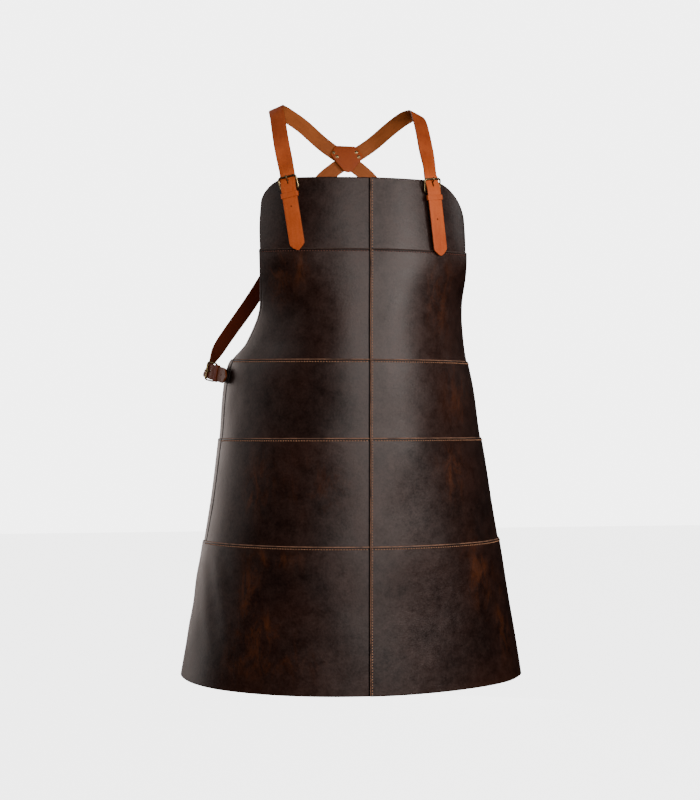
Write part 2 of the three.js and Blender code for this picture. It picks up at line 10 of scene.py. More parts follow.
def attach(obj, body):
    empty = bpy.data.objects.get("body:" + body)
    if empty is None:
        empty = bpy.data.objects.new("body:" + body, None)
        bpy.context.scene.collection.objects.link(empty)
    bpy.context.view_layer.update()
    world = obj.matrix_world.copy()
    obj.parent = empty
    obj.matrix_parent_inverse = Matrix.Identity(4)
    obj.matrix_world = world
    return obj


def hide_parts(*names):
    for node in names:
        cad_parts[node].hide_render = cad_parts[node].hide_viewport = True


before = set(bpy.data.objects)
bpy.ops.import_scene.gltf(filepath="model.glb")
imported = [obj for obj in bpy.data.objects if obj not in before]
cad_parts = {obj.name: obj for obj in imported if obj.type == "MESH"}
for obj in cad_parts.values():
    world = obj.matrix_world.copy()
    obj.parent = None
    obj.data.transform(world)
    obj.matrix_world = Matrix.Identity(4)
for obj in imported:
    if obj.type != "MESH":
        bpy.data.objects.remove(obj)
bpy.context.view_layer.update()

# A leather apron hung from its shoulder straps. Sizes are in millimetres up to the making of a mesh.
# The front faces -Y, and left and right are as seen from the front.
MM = 0.001


def table(columns, *rows):
    """Rows as dictionaries, by the names of their columns."""
    names = columns.split()
    return [dict(zip(names, row)) for row in rows]


# Leather sheet
LEATHER = 1.6
GAP = 0.3
LAP_GAP = 0.45
PLY = LEATHER + LAP_GAP
LAP = 12.0
RAMP = 100.0
FRONT_Y = -240.0
BIB_TOP = {"middle": -152.0, "ends": -147.0}
BIB_CORNER = {-1: 38.0, 1: 60.0}
SEAM_AT = 1.3
SEAM_BEVEL = {"reach": 1.3, "drop": 0.9}
EDGE_BEVEL = {"reach": 0.6, "drop": 0.5}
INNER_BEVEL = 0.25
CORNER_GAP = 0.05
CORNER_CUT = 11.6
UNDER_SHORTER = 0.7
SIDES = {-1: "left", 1: "right"}

# Horizontal sections of the worn sheet: height, then half width, depth and end angle of the left side
# and of the right side
SECTIONS = np.array([
    (-945, 282, 218, 92, 284, 183, 94),
    (-807, 260, 216, 86, 261, 185, 95),
    (-667, 240, 219, 80, 235.5, 188, 96),
    (-557, 228, 230, 76, 217, 197, 98),
    (-467, 223, 246, 72, 202, 198, 101),
    (-432, 218, 246, 70, 192, 188, 101),
    (-397, 197, 219, 65, 182, 168, 95),
    (-337, 179, 170, 63, 171, 130, 77),
    (-267, 180, 118, 64, 183, 116, 64.5),
    (-207, 176, 114, 67, 178, 114, 67),
    (-147, 172, 113, 66, 172, 113, 65),
], float)

# Rows of panels from the top down, with the height of each lower edge at the middle and at the sides
ROWS = table(
    "name middle ends",
    ("bib", -260.0, -256.0),
    ("chest", -428.0, -423.0),
    ("waist", -548.0, -551.0),
    ("hip", -713.0, -717.0),
    ("skirt", -941.0, -943.0),
)
HEM_ROW = len(ROWS) - 1

# Soft ripples of the hanging leather: angle of a crest at the level, its lean in degrees per millimetre,
# the pitch of crests, the angle from which they show, their height and the heights where they come and go
RIPPLES = table(
    "side crest level lean pitch from height starts full fades gone",
    (-1, 70.0, -800.0, 0.11, 12.5, 48.0, 0.5, -712.0, -765.0, -830.0, -925.0),
    (-1, 65.0, -440.0, 0.0, 13.0, 50.0, 0.35, -385.0, -415.0, -480.0, -530.0),
    (1, 66.0, -800.0, 0.05, 19.0, 48.0, 0.7, -745.0, -830.0, -900.0, -1000.0),
)
# Quiet unevenness of the hide: wave lengths across and down, and the height of the waves
WAVES = table(
    "across down turn height",
    (210.0, 330.0, 0.4, 0.5),
    (130.0, 190.0, 2.1, 0.32),
    (74.0, 118.0, 4.4, 0.16),
)
WAVE_RADIUS = 200.0
# The bib lies flat, and so does the leather under the side buckles
FLAT_BIB = {"down_to": -150.0, "gone": -290.0}
FLAT_BUCKLE = {"z": -449.0, "tall": 40.0, "from": 50.0, "full": 62.0}

# Rubbed places where the wax has lifted: centre and half size round the body and in height, and strength
SCUFFS = table(
    "across z wide tall strength",
    (-152, -636, 10, 26, 1.1),
    (-140, -788, 13, 50, 1.25),
    (-122, -846, 28, 26, 1.2),
    (-116, -733, 40, 16, 0.8),
    (-120, -890, 60, 30, 0.7),
    (-140, -620, 22, 50, 0.75),
    (-60, -620, 40, 40, 0.45),
    (120, -600, 22, 44, 0.85),
    (150, -760, 26, 50, 0.95),
    (190, -850, 18, 60, 0.8),
    (130, -330, 30, 55, 0.85),
    (150, -480, 30, 44, 0.8),
    (-150, -300, 26, 44, 0.75),
    (-110, -285, 14, 28, 0.8),
)
SCUFF_RADIUS = 180.0

# The sewn line inside the outer edge, for each row of panels: distance from the edge, half width, depth
# and strength of the painted shade in it, and the heights where it starts
EDGE_LINES = table(
    "row half drop dark",
    (7.0, 0.6, 0.0, 0.0),
    (7.0, 0.6, 0.3, 0.5),
    (17.0, 1.0, 0.6, 0.95),
    (19.0, 1.0, 0.6, 0.95),
    (19.0, 1.0, 0.0, 0.0),
)
EDGE_LINES_FROM = {"starts": -285.0, "full": -315.0}

# Lines of a panel's grid: distances from the middle seam, from the top edge, from the lower edge and
# from the outer edge, where the last ones stand on both sides of the sewn line
EVEN_LINES = range(16, 61, 4)
RIGHT_LINES = [SEAM_AT, SEAM_AT + SEAM_BEVEL["reach"], 3.4, 5, 8, 10.5, 12.5, *EVEN_LINES]
LEFT_LINES = [LAP, LAP - EDGE_BEVEL["reach"], 9, 4, -CORNER_GAP, -2, -5, -9, -14, -20, -27]
BIB_TOP_LINES = [0, EDGE_BEVEL["reach"], 2, 5, 9]
LAPPED_TOP_LINES = [0, SEAM_BEVEL["reach"], 2.6, 5, 8, 10.2, CORNER_CUT, *EVEN_LINES]
BOTTOM_LINES = BIB_TOP_LINES[::-1]
INSIDE_LINE = (7.0, 2.8)
OUTSIDE_LINE = (0.76, 0.52, 0.36)
NEAR_EDGE = 1.8
GROOVE_COLUMN = -8
WIDE_CELLS = 54
CELL_HEIGHT = 5
LEAST_CELLS = 8
PANEL_SHARP = 50

# Painted shade below a lapped edge and beside the middle seam, and wear along the edges
PAINTED_SEAM_SHADE = {"below": 2.4, "wide": 0.9, "dark": 0.75, "beside": 1.7}
WEAR = {"strength": 0.5, "wide": 9.0}
# Each panel is cut from another place of the hide
CUT_SHIFT = {"row": 0.37, "right": 0.61}


def smooth_step(value, low, high):
    t = np.clip((np.asarray(value, float) - low) / (high - low), 0, 1)
    return t * t * (3 - 2 * t)


def unit(vector):
    return vector / np.linalg.norm(vector)


def circle(count):
    """Angles of points spread evenly round a circle."""
    return np.linspace(0, 2 * math.pi, count + 1)[:-1]


def read_sections(z):
    """All columns of the sections at heights z, smooth and with no overshoot between the rows."""
    knots, values = SECTIONS[:, 0], SECTIONS[:, 1:]
    slope = np.diff(values, axis=0) / np.diff(knots)[:, None]
    before, after = slope[:-1], slope[1:]
    same = before * after > 0
    inner = np.where(same, 2 * before * after / np.where(same, before + after, 1), 0)
    tangent = np.concatenate([slope[:1], inner, slope[-1:]])
    z = np.clip(np.asarray(z, float), knots[0], knots[-1])
    i = np.clip(np.searchsorted(knots, z) - 1, 0, len(knots) - 2)
    run = np.asarray(knots[i + 1] - knots[i])[..., None]
    t = np.asarray(z - knots[i])[..., None] / run
    rest = 1 - t
    return (values[i] * rest**2 * (1 + 2 * t) + tangent[i] * run * t * rest**2
            + values[i + 1] * t**2 * (3 - 2 * t) - tangent[i + 1] * run * t**2 * rest)


def section(z, side):
    """Half width, depth and end angle at heights z, on the side that the sign of side tells."""
    columns = read_sections(z)
    is_left = np.asarray(side)[..., None] < 0
    width, depth, edge = np.moveaxis(np.where(is_left, columns[..., :3], columns[..., 3:]), -1, 0)
    return width, depth, np.radians(edge)


def sheet_frame(theta, z):
    """Points of the sheet at an angle round the body, negative on the left, and outward directions."""
    theta, z = np.broadcast_arrays(np.asarray(theta, float), np.asarray(z, float))
    width, depth, _ = section(z, theta)
    normal = np.stack([np.sin(theta) / width, -np.cos(theta) / depth, np.zeros_like(z)], -1)
    normal /= np.linalg.norm(normal, axis=-1, keepdims=True)
    point = np.stack([width * np.sin(theta), FRONT_Y + depth * (1 - np.cos(theta)), z], -1)
    return point, normal


def seam_theta(z, side, x):
    """Angle round the body at a distance from the middle seam."""
    return np.arcsin(x / section(z, side)[0])


def edge_theta(z, side, distance):
    """Angle round the body at a distance along the sheet from its outer edge."""
    width, depth, edge = section(z, side)
    pace = np.hypot(width * np.cos(edge), depth * np.sin(edge))
    return side * (edge - distance / pace)


def line_height(line, share):
    return line["middle"] + (line["ends"] - line["middle"]) * share**2


def bib_top(share, side):
    """Top edge of the bib, rounded off at its corner."""
    width, _, edge = section(BIB_TOP["ends"], side)
    radius = BIB_CORNER[side]
    past = width * np.sin(np.abs(share) * edge) - (width * np.sin(edge) - radius)
    fall = np.where(past > 0, radius - np.sqrt(np.maximum(radius**2 - past**2, 0)), 0)
    return line_height(BIB_TOP, share) - fall


def lap_lift(distance):
    return 1 - smooth_step(distance, LAP + GAP, LAP + GAP + RAMP)


def drape(theta, z):
    """How far the sheet stands out from its plain sections."""
    angle = np.degrees(np.abs(theta))
    out = np.zeros(np.broadcast(theta, z).shape)
    for ripple in RIPPLES:
        grow = smooth_step(angle, ripple["from"], ripple["from"] + ripple["pitch"])
        grow = grow * smooth_step(z, ripple["starts"], ripple["full"])
        grow = grow * (1 - smooth_step(z, ripple["fades"], ripple["gone"]))
        crest = ripple["crest"] + ripple["lean"] * (z - ripple["level"])
        wave = np.cos(2 * math.pi * (angle - crest) / ripple["pitch"])
        out += np.where(np.sign(theta) == ripple["side"], ripple["height"] * grow * wave, 0)
    across = theta * WAVE_RADIUS
    for wave in WAVES:
        round_body = np.sin(2 * math.pi * across / wave["across"] + wave["turn"])
        down_body = np.sin(2 * math.pi * z / wave["down"] + 2 * wave["turn"])
        out += wave["height"] * round_body * down_body
    below_bib = smooth_step(z, FLAT_BIB["down_to"], FLAT_BIB["gone"])
    by_buckle = np.exp(-((z - FLAT_BUCKLE["z"]) / FLAT_BUCKLE["tall"]) ** 2)
    by_buckle = by_buckle * smooth_step(angle, FLAT_BUCKLE["from"], FLAT_BUCKLE["full"])
    return out * below_bib * (1 - by_buckle)


def scuffing(theta, z):
    """How much a place of the leather is rubbed."""
    across = theta * SCUFF_RADIUS
    amount = np.zeros_like(z)
    for scuff in SCUFFS:
        sideways = (across - scuff["across"]) / scuff["wide"]
        upward = (z - scuff["z"]) / scuff["tall"]
        amount = np.maximum(amount, scuff["strength"] * np.exp(-(sideways**2 + upward**2)))
    return amount


def panel_name(index, side):
    return ROWS[index]["name"] + "_" + SIDES[side]


def panel_top(index, share, side):
    return line_height(ROWS[index - 1], share) if index else bib_top(share, side)


def panel_surface(index, side, theta, z):
    """Outer face of a panel, lifted where it laps over its neighbours."""
    point, normal = sheet_frame(theta, z)
    _, _, edge = section(z, side)
    lift = drape(theta, z)
    if index:
        lift = lift + PLY * lap_lift(panel_top(index, theta / edge, side) - z)
    if side > 0:
        lift = lift + PLY * lap_lift(point[..., 0])
    return point + normal * lift[..., None], normal


def new_object(name, verts, faces, materials, face_slots=None, attributes=None, sharp=None):
    """A smooth mesh in the scene; sharp is the angle in degrees from which its edges stay sharp."""
    mesh = bpy.data.meshes.new(name)
    mesh.from_pydata((np.asarray(verts, float) * MM).tolist(), [], faces)
    for material in materials:
        mesh.materials.append(material)
    if face_slots is not None:
        mesh.polygons.foreach_set("material_index", np.asarray(face_slots, np.int32))
    mesh.polygons.foreach_set("use_smooth", np.ones(len(mesh.polygons), bool))
    for key, values in (attributes or {}).items():
        layer = mesh.attributes.new(key, "FLOAT", "POINT")
        layer.data.foreach_set("value", np.asarray(values, np.float32))
    turned_out = bmesh.new()
    turned_out.from_mesh(mesh)
    bmesh.ops.recalc_face_normals(turned_out, faces=turned_out.faces)
    turned_out.to_mesh(mesh)
    turned_out.free()
    if sharp:
        mesh.set_sharp_from_angle(angle=math.radians(sharp))
    mesh.update()
    obj = bpy.data.objects.new(name, mesh)
    bpy.context.scene.collection.objects.link(obj)
    return obj


def panel_theta(index, side, z):
    """Angles of the columns of a panel's grid at heights z, from the seam to the outer edge."""
    line = EDGE_LINES[index]
    by_seam = np.array(RIGHT_LINES if side > 0 else LEFT_LINES)
    by_edge = [line["row"] + step for step in (*INSIDE_LINE, line["half"], 0.0, -line["half"])]
    by_edge += [line["row"] * share for share in OUTSIDE_LINE]
    by_edge = np.array(by_edge + [NEAR_EDGE, EDGE_BEVEL["reach"], 0])
    share = np.arange(1, WIDE_CELLS) / WIDE_CELLS
    parts = np.cumsum([len(by_seam), len(share), len(by_edge)])
    z = np.broadcast_to(z, (*np.shape(z)[:-1], parts[-1]))
    by_seam_z, between_z, by_edge_z = np.split(z, parts[:2], axis=-1)
    start = seam_theta(between_z, side, by_seam[-1])
    end = edge_theta(between_z, side, by_edge[0])
    between = start + (end - start) * share
    return np.concatenate([seam_theta(by_seam_z, side, by_seam), between,
                           edge_theta(by_edge_z, side, by_edge)], -1)


def panel_grid(index, side):
    """Distance below the top edge, whole height, z and angle for the grid of a panel."""
    row = ROWS[index]
    top_middle = ROWS[index - 1]["middle"] if index else BIB_TOP["middle"]
    nominal = (top_middle + row["middle"]) / 2
    share = panel_theta(index, side, nominal) / section(nominal, side)[2]
    top = panel_top(index, share, side)
    under = LAP - UNDER_SHORTER if side > 0 else LAP
    bottom = line_height(row, share) - (0 if index == HEM_ROW else under)
    height = top - bottom
    by_top = LAPPED_TOP_LINES if index else BIB_TOP_LINES
    cells = max(int((top_middle - row["middle"] - by_top[-1]) / CELL_HEIGHT), LEAST_CELLS)
    between = height - BOTTOM_LINES[0] - by_top[-1]
    below = [np.full_like(height, d) for d in by_top]
    below += [by_top[-1] + between * k / cells for k in range(1, cells)]
    below += [height - d for d in BOTTOM_LINES]
    below = np.array(below)
    z = top - below
    return below, height, z, panel_theta(index, side, z)


def panel_faces(here, index, side):
    """Faces of both sides and of the rims of a panel's grid, each with its material's number."""
    grain, tan_edge, flesh, dark_edge = range(4)
    rows, cols = here.shape[0] + 1, here.shape[1] + 1
    count = rows * cols
    line_from = cols + GROOVE_COLUMN - 1
    seam_edge = tan_edge if side > 0 else dark_edge
    around = np.pad(here, 1)
    faces, slots = [], []

    def add_face(loop, slot):
        faces.append(loop[::side])
        slots.append(slot)

    for j, i in np.argwhere(here).tolist():
        loop = [j * cols + i, (j + 1) * cols + i, (j + 1) * cols + i + 1, j * cols + i + 1]
        top_edge = tan_edge if index > 1 and i < line_from else dark_edge
        slot = grain
        if j == 0 and index:
            slot = top_edge
        if i == 0 and side > 0:
            slot = seam_edge
        add_face(loop, slot)
        add_face([v + count for v in loop[::-1]], flesh)
        rims = ((0, -1, seam_edge), (1, 0, dark_edge), (0, 1, dark_edge), (-1, 0, top_edge))
        for k, (down, out, rim) in enumerate(rims):
            if not around[j + 1 + down, i + 1 + out]:
                a, b = loop[k], loop[(k + 1) % 4]
                add_face([b, a, a + count, b + count], rim)
    return np.array(faces), slots


def make_panel(index, side, materials):
    """A leather panel as a closed sheet with grain, flesh and raw edges, its flat size and its area."""
    line = EDGE_LINES[index]
    below, height, z, theta = panel_grid(index, side)
    outer, normal = panel_surface(index, side, theta, z)
    sunk = smooth_step(z[:, GROOVE_COLUMN], EDGE_LINES_FROM["starts"], EDGE_LINES_FROM["full"])
    drop = np.zeros_like(z)
    drop[:, GROOVE_COLUMN] = line["drop"] * sunk
    drop[0] = (SEAM_BEVEL if index else EDGE_BEVEL)["drop"]
    drop[-1] = EDGE_BEVEL["drop"]
    drop[:, 0] = (SEAM_BEVEL if side > 0 else EDGE_BEVEL)["drop"]
    drop[:, -1] = EDGE_BEVEL["drop"]
    depth = np.full_like(z, LEATHER)
    depth[0] = depth[-1] = LEATHER - INNER_BEVEL
    depth[:, 0] = depth[:, -1] = LEATHER - INNER_BEVEL
    verts = np.concatenate([(outer - normal * d[..., None]).reshape(-1, 3) for d in (drop, depth)])

    # The corner that would lie under three other layers is cut away
    here = np.ones((z.shape[0] - 1, z.shape[1] - 1), bool)
    if side < 0 and index:
        here[:LAPPED_TOP_LINES.index(CORNER_CUT), :LEFT_LINES.index(-CORNER_GAP)] = False
    faces, slots = panel_faces(here, index, side)
    used, renumbered = np.unique(faces, return_inverse=True)
    faces = renumbered.reshape(faces.shape).tolist()

    # Painted shade below a lapped top edge, beside the middle seam on a left panel and in the sewn line
    # inside the outer edge
    painted_shade = np.zeros_like(z)
    if index:
        painted_shade = PAINTED_SEAM_SHADE["dark"] * np.exp(-((below - PAINTED_SEAM_SHADE["below"]) / PAINTED_SEAM_SHADE["wide"]) ** 2)
    if side < 0:
        beside = smooth_step(outer[..., 0], -PAINTED_SEAM_SHADE["beside"], SEAM_AT - PAINTED_SEAM_SHADE["beside"])
        painted_shade = np.maximum(painted_shade, beside)
    lined = slice(GROOVE_COLUMN - 1, GROOVE_COLUMN + 2)
    painted_shade[:, lined] = np.maximum(painted_shade[:, lined], line["dark"] * sunk[:, None])
    shades = {
        "painted_shade": painted_shade,
        "scuff": scuffing(theta, z),
        "cut": np.full_like(z, CUT_SHIFT["row"] * index + CUT_SHIFT["right"] * (side > 0)),
        "wear": WEAR["strength"] * np.exp(-np.minimum(below, height - below) / WEAR["wide"]),
    }
    attributes = {key: np.tile(values.reshape(-1), 2)[used] for key, values in shades.items()}
    name = panel_name(index, side) + "_leather"
    panel = new_object(name, verts[used], faces, materials, slots, attributes, PANEL_SHARP)
    lengths = np.linalg.norm(np.diff(outer, axis=1), axis=-1).sum(1)
    falls = np.linalg.norm(np.diff(outer, axis=0), axis=-1).sum(0)
    cell = np.cross(outer[1:, 1:] - outer[:-1, :-1], outer[1:, :-1] - outer[:-1, 1:])
    flat_area = 0.5 * np.linalg.norm(cell, axis=-1)[here].sum()
    return panel, (lengths.max() * MM, falls.max() * MM), flat_area * MM * MM


def loft(rings, closed_path=False):
    """Faces over rings of equal size, each ring closed, with flat ends unless the path is closed."""
    count, size = len(rings), len(rings[0])
    faces = []
    for k in range(count if closed_path else count - 1):
        near, far = k * size, ((k + 1) % count) * size
        for s in range(size):
            t = (s + 1) % size
            faces.append([near + s, near + t, far + t, far + s])
    if not closed_path:
        faces.append(list(range(size))[::-1])
        faces.append([(count - 1) * size + s for s in range(size)])
    return np.concatenate(rings), faces


def merged(parts):
    """Several pairs of points and faces as one pair."""
    verts, faces, start = [], [], 0
    for part_verts, part_faces in parts:
        verts.append(part_verts)
        faces += [[v + start for v in face] for face in part_faces]
        start += len(part_verts)
    return np.concatenate(verts), faces


# A strip's edges are never rounder than these shares of its half width and thickness
MOST_ROUND = {"half": 0.45, "thickness": 0.48}


def strip_profile(half, thickness, corner, cells, crown=0.0):
    """Rounded outline of a flat strip: pairs across and out, starting at the outer face."""
    corner = min(corner, half * MOST_ROUND["half"], thickness * MOST_ROUND["thickness"])
    x, y = half - corner, thickness / 2 - corner
    across = np.linspace(x, -x, cells + 1)
    turn = np.radians([22.5, 45, 67.5])
    s, c = corner * np.sin(turn), corner * np.cos(turn)
    stretches = (
        (across, thickness / 2 + crown * (1 - (across / half) ** 2)),
        (-x - s, y + c),
        (-x - c, -y - s),
        (across[::-1], np.full(cells + 1, -thickness / 2)),
        (x + s, -y - c),
        (x + c, y + s),
    )
    return np.concatenate([np.column_stack(stretch) for stretch in stretches])


def set_out(profile, centre, across, outward):
    """A profile's pairs as points about a centre."""
    return centre + profile[:, :1] * across + profile[:, 1:] * outward


# Straps, buckles and their small parts
STRAP_WIDTH = 25.0
STRAP_THICK = 2.4
STRAP_STEP = 2.2
STRAP_CORNER = 0.75
STRAP_CROWN = 0.18
STRAP_CELLS = 8
TAIL_LIFT = 7.4
TIP_LENGTH = 9.0
TIP_HALF = 1.6
TIP_SHAPE = ((0.12, 0.13), (0.5, 0.32), (1.0, 0.485))
TIP_BEHIND = 3.0
SLOPE_STEP = 10.0
HOLE_RADIUS = 1.3
PULLED_HOLE_RADIUS = 0.7
HOLE_REACH = (-6.0, 21.0)
HOLE_POINTS = 24
PRONG_HOLE = {"along": -12.65, "length": 8.6, "width": 2.8, "end_points": 11}
WELD = 2e-6
CUT_SHARP = 45
PIECE_SHARP = 50
PATCH_SHARP = 60
WIRE_RADIUS = 1.3
WIRE_SIDES = 16
OUTER_BAR_RADIUS = 1.8
FRAME_LENGTH = 20.0
FRAME_WIDTH = 32.0
FRAME_CORNER = 4.0
HEEL_HEIGHT = 3.5
OUTER_BAR_HEIGHT = 8.5
PRONG_RADIUS = 1.0
PRONG_SIDES = 14
PRONG_WAY = ((-7, 4.4), (-10.4, 5.4), (-14.6, 7.8))
PRONG_RESTS = (1.5, -2.5)
PRONG_TIP = (0.92, 0.8, 0.55)
PRONG_STEPS = 6
EYE_POINTS = 28
EYE_SIDES = 12
TAB_WIDTH = 21.0
TAB_LENGTH = 44.0
TAB_SHORTER = 3.0
TAB_SEAT = 22.0
TAB_CORNER = 0.4
TAB_CELLS = 6
TAB_BEND = 2.0
TAB_TURN_POINTS = 19
TAB_WAY = ((4, 4.4), (8, 3.6))
TAB_BACK = 14.0
TAB_SLOT = {"half": 2.5, "start": -7.0, "end": 5.0, "reach": (-5.0, 12.0)}
# Painted shade on the buckle tabs, which lie under the strap
TAB_PAINTED_SHADE = 0.7
KEEPER = {"start": 4.7, "end": 12.4, "wall": 1.3, "lowest": 5.5, "corner": 1.1, "rim": 0.35}
KEEPER_CELLS = 4
CORNER_POINTS = {"frame": 9, "keeper": 7, "patch": 7}
KEEPER_MIDDLE = (KEEPER["start"] + KEEPER["end"]) / 2
KEEPER_HALF = (KEEPER["end"] - KEEPER["start"]) / 2
RIVET_RADIUS = 4.0
RIVET_HEIGHT = 1.0
RIVET_POINTS = 28
RIVET_ALONG = 33.0

# Places of the four buckles, each in a frame with x across the strap, y along it to the free end, z out
BUCKLES = {
    "front_left": {"side": -1, "from_seam": -113.5, "z": -192, "lean": 12, "stand": 0, "flare": 0,
                   "tail": 94, "holes": (-32, 26)},
    "front_right": {"side": 1, "from_seam": 102, "z": -192, "lean": 4.5, "stand": 0, "flare": 0,
                    "tail": 98, "holes": (-32, 42)},
    "side_left": {"side": -1, "from_edge": 2, "z": -449, "lean": 83, "stand": 2.1, "flare": 15,
                  "tail": 44, "holes": (-32, 26)},
    "side_right": {"side": 1, "from_edge": 1, "z": -449, "lean": -72, "stand": 2.5, "flare": -8,
                   "tail": 44, "holes": (-32, 26)},
}

# The strap's way through a buckle, from the free end: along its frame and above the sheet
STRAP_SEAT = KEEPER["lowest"] + KEEPER["wall"] + GAP + STRAP_THICK / 2
BUCKLE_WAY = [
    (30, STRAP_SEAT),
    (KEEPER["end"] + 1, STRAP_SEAT),
    (KEEPER["start"] - 1, STRAP_SEAT),
    (0, 8.5),
    (-5, 8.3),
    (-10, 7.4),
    (-15, 6.1),
    (-FRAME_LENGTH, OUTER_BAR_HEIGHT - OUTER_BAR_RADIUS - GAP - STRAP_THICK / 2),
    (-FRAME_LENGTH - 7, 4.6),
]

# Ways of the straps from a front buckle to the side buckle opposite: a point and its outward direction
STRAP_WAYS = {
    "strap_a": {"front": "front_left", "side": "side_right", "way": [
        ((-127, -168, -92), (-0.2, -0.9, 0.36)),
        ((-126, -80, -30), (-0.25, -0.63, 0.72)),
        ((-124, -24, -2), (-0.42, -0.35, 0.84)),
        ((-117, 4, 3), (-0.42, 0.3, 0.86)),
        ((-99, 22, -3), (-0.3, 0.75, 0.6)),
        ((-73, 42, -14.5), (-0.12, 0.9, 0.4)),
        ((-34, 68, -39.5), (0, 0.97, 0.2)),
        ((-12, 74.5, -53), (0, 1, 0)),
        ((10, 75, -66), (0, 1, 0)),
        ((34, 75, -83), (0, 1, 0)),
        ((56, 75.5, -104), (0, 1, 0)),
        ((110, 82, -200), (0.15, 0.98, 0)),
        ((158, 62, -307), (0.4, 0.9, 0)),
        ((194, 36, -376), (0.7, 0.7, 0)),
    ]},
    "strap_b": {"front": "front_right", "side": "side_left", "way": [
        ((101, -172, -92), (0.15, -0.9, 0.36)),
        ((110, -80, -30), (0.2, -0.63, 0.72)),
        ((114, -24, -3), (0.42, -0.35, 0.84)),
        ((113, 4, 2), (0.42, 0.3, 0.86)),
        ((101, 22, -1.5), (0.3, 0.75, 0.6)),
        ((84, 42, -12.5), (0.12, 0.9, 0.4)),
        ((52, 71, -38), (0, 0.97, 0.2)),
        ((31, 77.8, -52), (0, 1, 0)),
        ((10, 78.4, -66), (0, 1, 0)),
        ((-14, 78.4, -83), (0, 1, 0)),
        ((-37, 80, -104), (0, 1, 0)),
        ((-91, 84, -203), (-0.15, 0.98, 0)),
        ((-155, 62, -310), (-0.4, 0.9, 0)),
        ((-211, 18, -391), (-0.6, 0.8, 0)),
    ]},
}


def buckle_frame(buckle):
    """Matrix of a buckle's frame, with its heel bar at the origin."""
    width, depth, edge = (float(value) for value in section(buckle["z"], buckle["side"]))
    if "from_seam" in buckle:
        theta = math.asin(buckle["from_seam"] / width)
    else:
        theta = buckle["side"] * (edge - buckle["from_edge"] / depth)
    point, normal = (Vector(value) for value in sheet_frame(theta, buckle["z"]))
    above, _ = sheet_frame(theta, buckle["z"] + SLOPE_STEP)
    under, _ = sheet_frame(theta, buckle["z"] - SLOPE_STEP)
    up_sheet = Vector(above - under).normalized()
    outward = (normal - up_sheet * normal.dot(up_sheet)).normalized()
    along = Matrix.Rotation(math.radians(buckle["lean"]), 3, outward) @ -up_sheet
    across = along.cross(outward)
    seat = point + outward * buckle["stand"]
    basis = Matrix((across, along, outward)).transposed().to_4x4()
    turned = Matrix.Translation(seat) @ basis @ Matrix.Rotation(math.radians(-buckle["flare"]), 4, "X")
    return turned @ Matrix.Translation((0, -TAB_SEAT, 0))


def placed(points, matrix):
    points = np.asarray(points, float)
    turn = np.array(matrix.to_3x3())
    return points @ turn.T + np.array(matrix.translation)


def sheet_rise(along, flare):
    """Height of the sheet in the frame of a buckle that stands off it at an angle."""
    return max(along - TAB_SEAT, 0) * math.tan(math.radians(flare))


def catmull(points, k, t):
    """Point and tangent at share t of span k of a centripetal curve through points."""
    last = len(points) - 1
    p1, p2 = points[k], points[k + 1]
    p0 = points[k - 1] if k > 0 else 2 * p1 - p2
    p3 = points[k + 2] if k + 2 <= last else 2 * p2 - p1
    d0, d1, d2 = (np.linalg.norm(b - a) ** 0.5 for a, b in ((p0, p1), (p1, p2), (p2, p3)))
    m1 = ((p1 - p0) / d0 - (p2 - p0) / (d0 + d1) + (p2 - p1) / d1) * d1
    m2 = ((p2 - p1) / d1 - (p3 - p1) / (d1 + d2) + (p3 - p2) / d2) * d1
    c2 = -3 * p1 + 3 * p2 - 2 * m1 - m2
    c3 = 2 * p1 - 2 * p2 + m1 + m2
    return p1 + m1 * t + c2 * t**2 + c3 * t**3, m1 + 2 * c2 * t + 3 * c3 * t**2


def tail_rows(length):
    """Free end of a strap, from its tip: along, height and half width."""
    start = BUCKLE_WAY[0][0]
    behind = length - TIP_LENGTH - TIP_BEHIND
    rows = [(length, TIP_HALF)]
    rows += [(length - TIP_LENGTH * back, STRAP_WIDTH * share) for back, share in TIP_SHAPE]
    rows += [(behind, STRAP_WIDTH / 2), ((behind + start) / 2, STRAP_WIDTH / 2)]
    return [(along, STRAP_SEAT + (TAIL_LIFT - STRAP_SEAT) * (along - start) / (length - start), half)
            for along, half in rows]


def buckle_stretch(buckle):
    """A strap's stretch in a buckle, from the free end: points, outward direction and half width."""
    matrix = buckle_frame(buckle)
    outward = np.array(matrix.to_3x3().col[2])
    rows = tail_rows(buckle["tail"]) + [(along, height, STRAP_WIDTH / 2) for along, height in BUCKLE_WAY]
    local = [(0, along, height + sheet_rise(along, buckle["flare"])) for along, height, _ in rows]
    return [(point, outward, row[2]) for point, row in zip(placed(local, matrix), rows)]


def strap_knots(strap):
    """The whole way of a strap, from the tip at the front to the tip at the side."""
    start = buckle_stretch(BUCKLES[strap["front"]])
    end = buckle_stretch(BUCKLES[strap["side"]])[::-1]
    way = [(np.array(point, float), unit(np.array(outward, float)), STRAP_WIDTH / 2)
           for point, outward in strap["way"]]
    return start + way + end


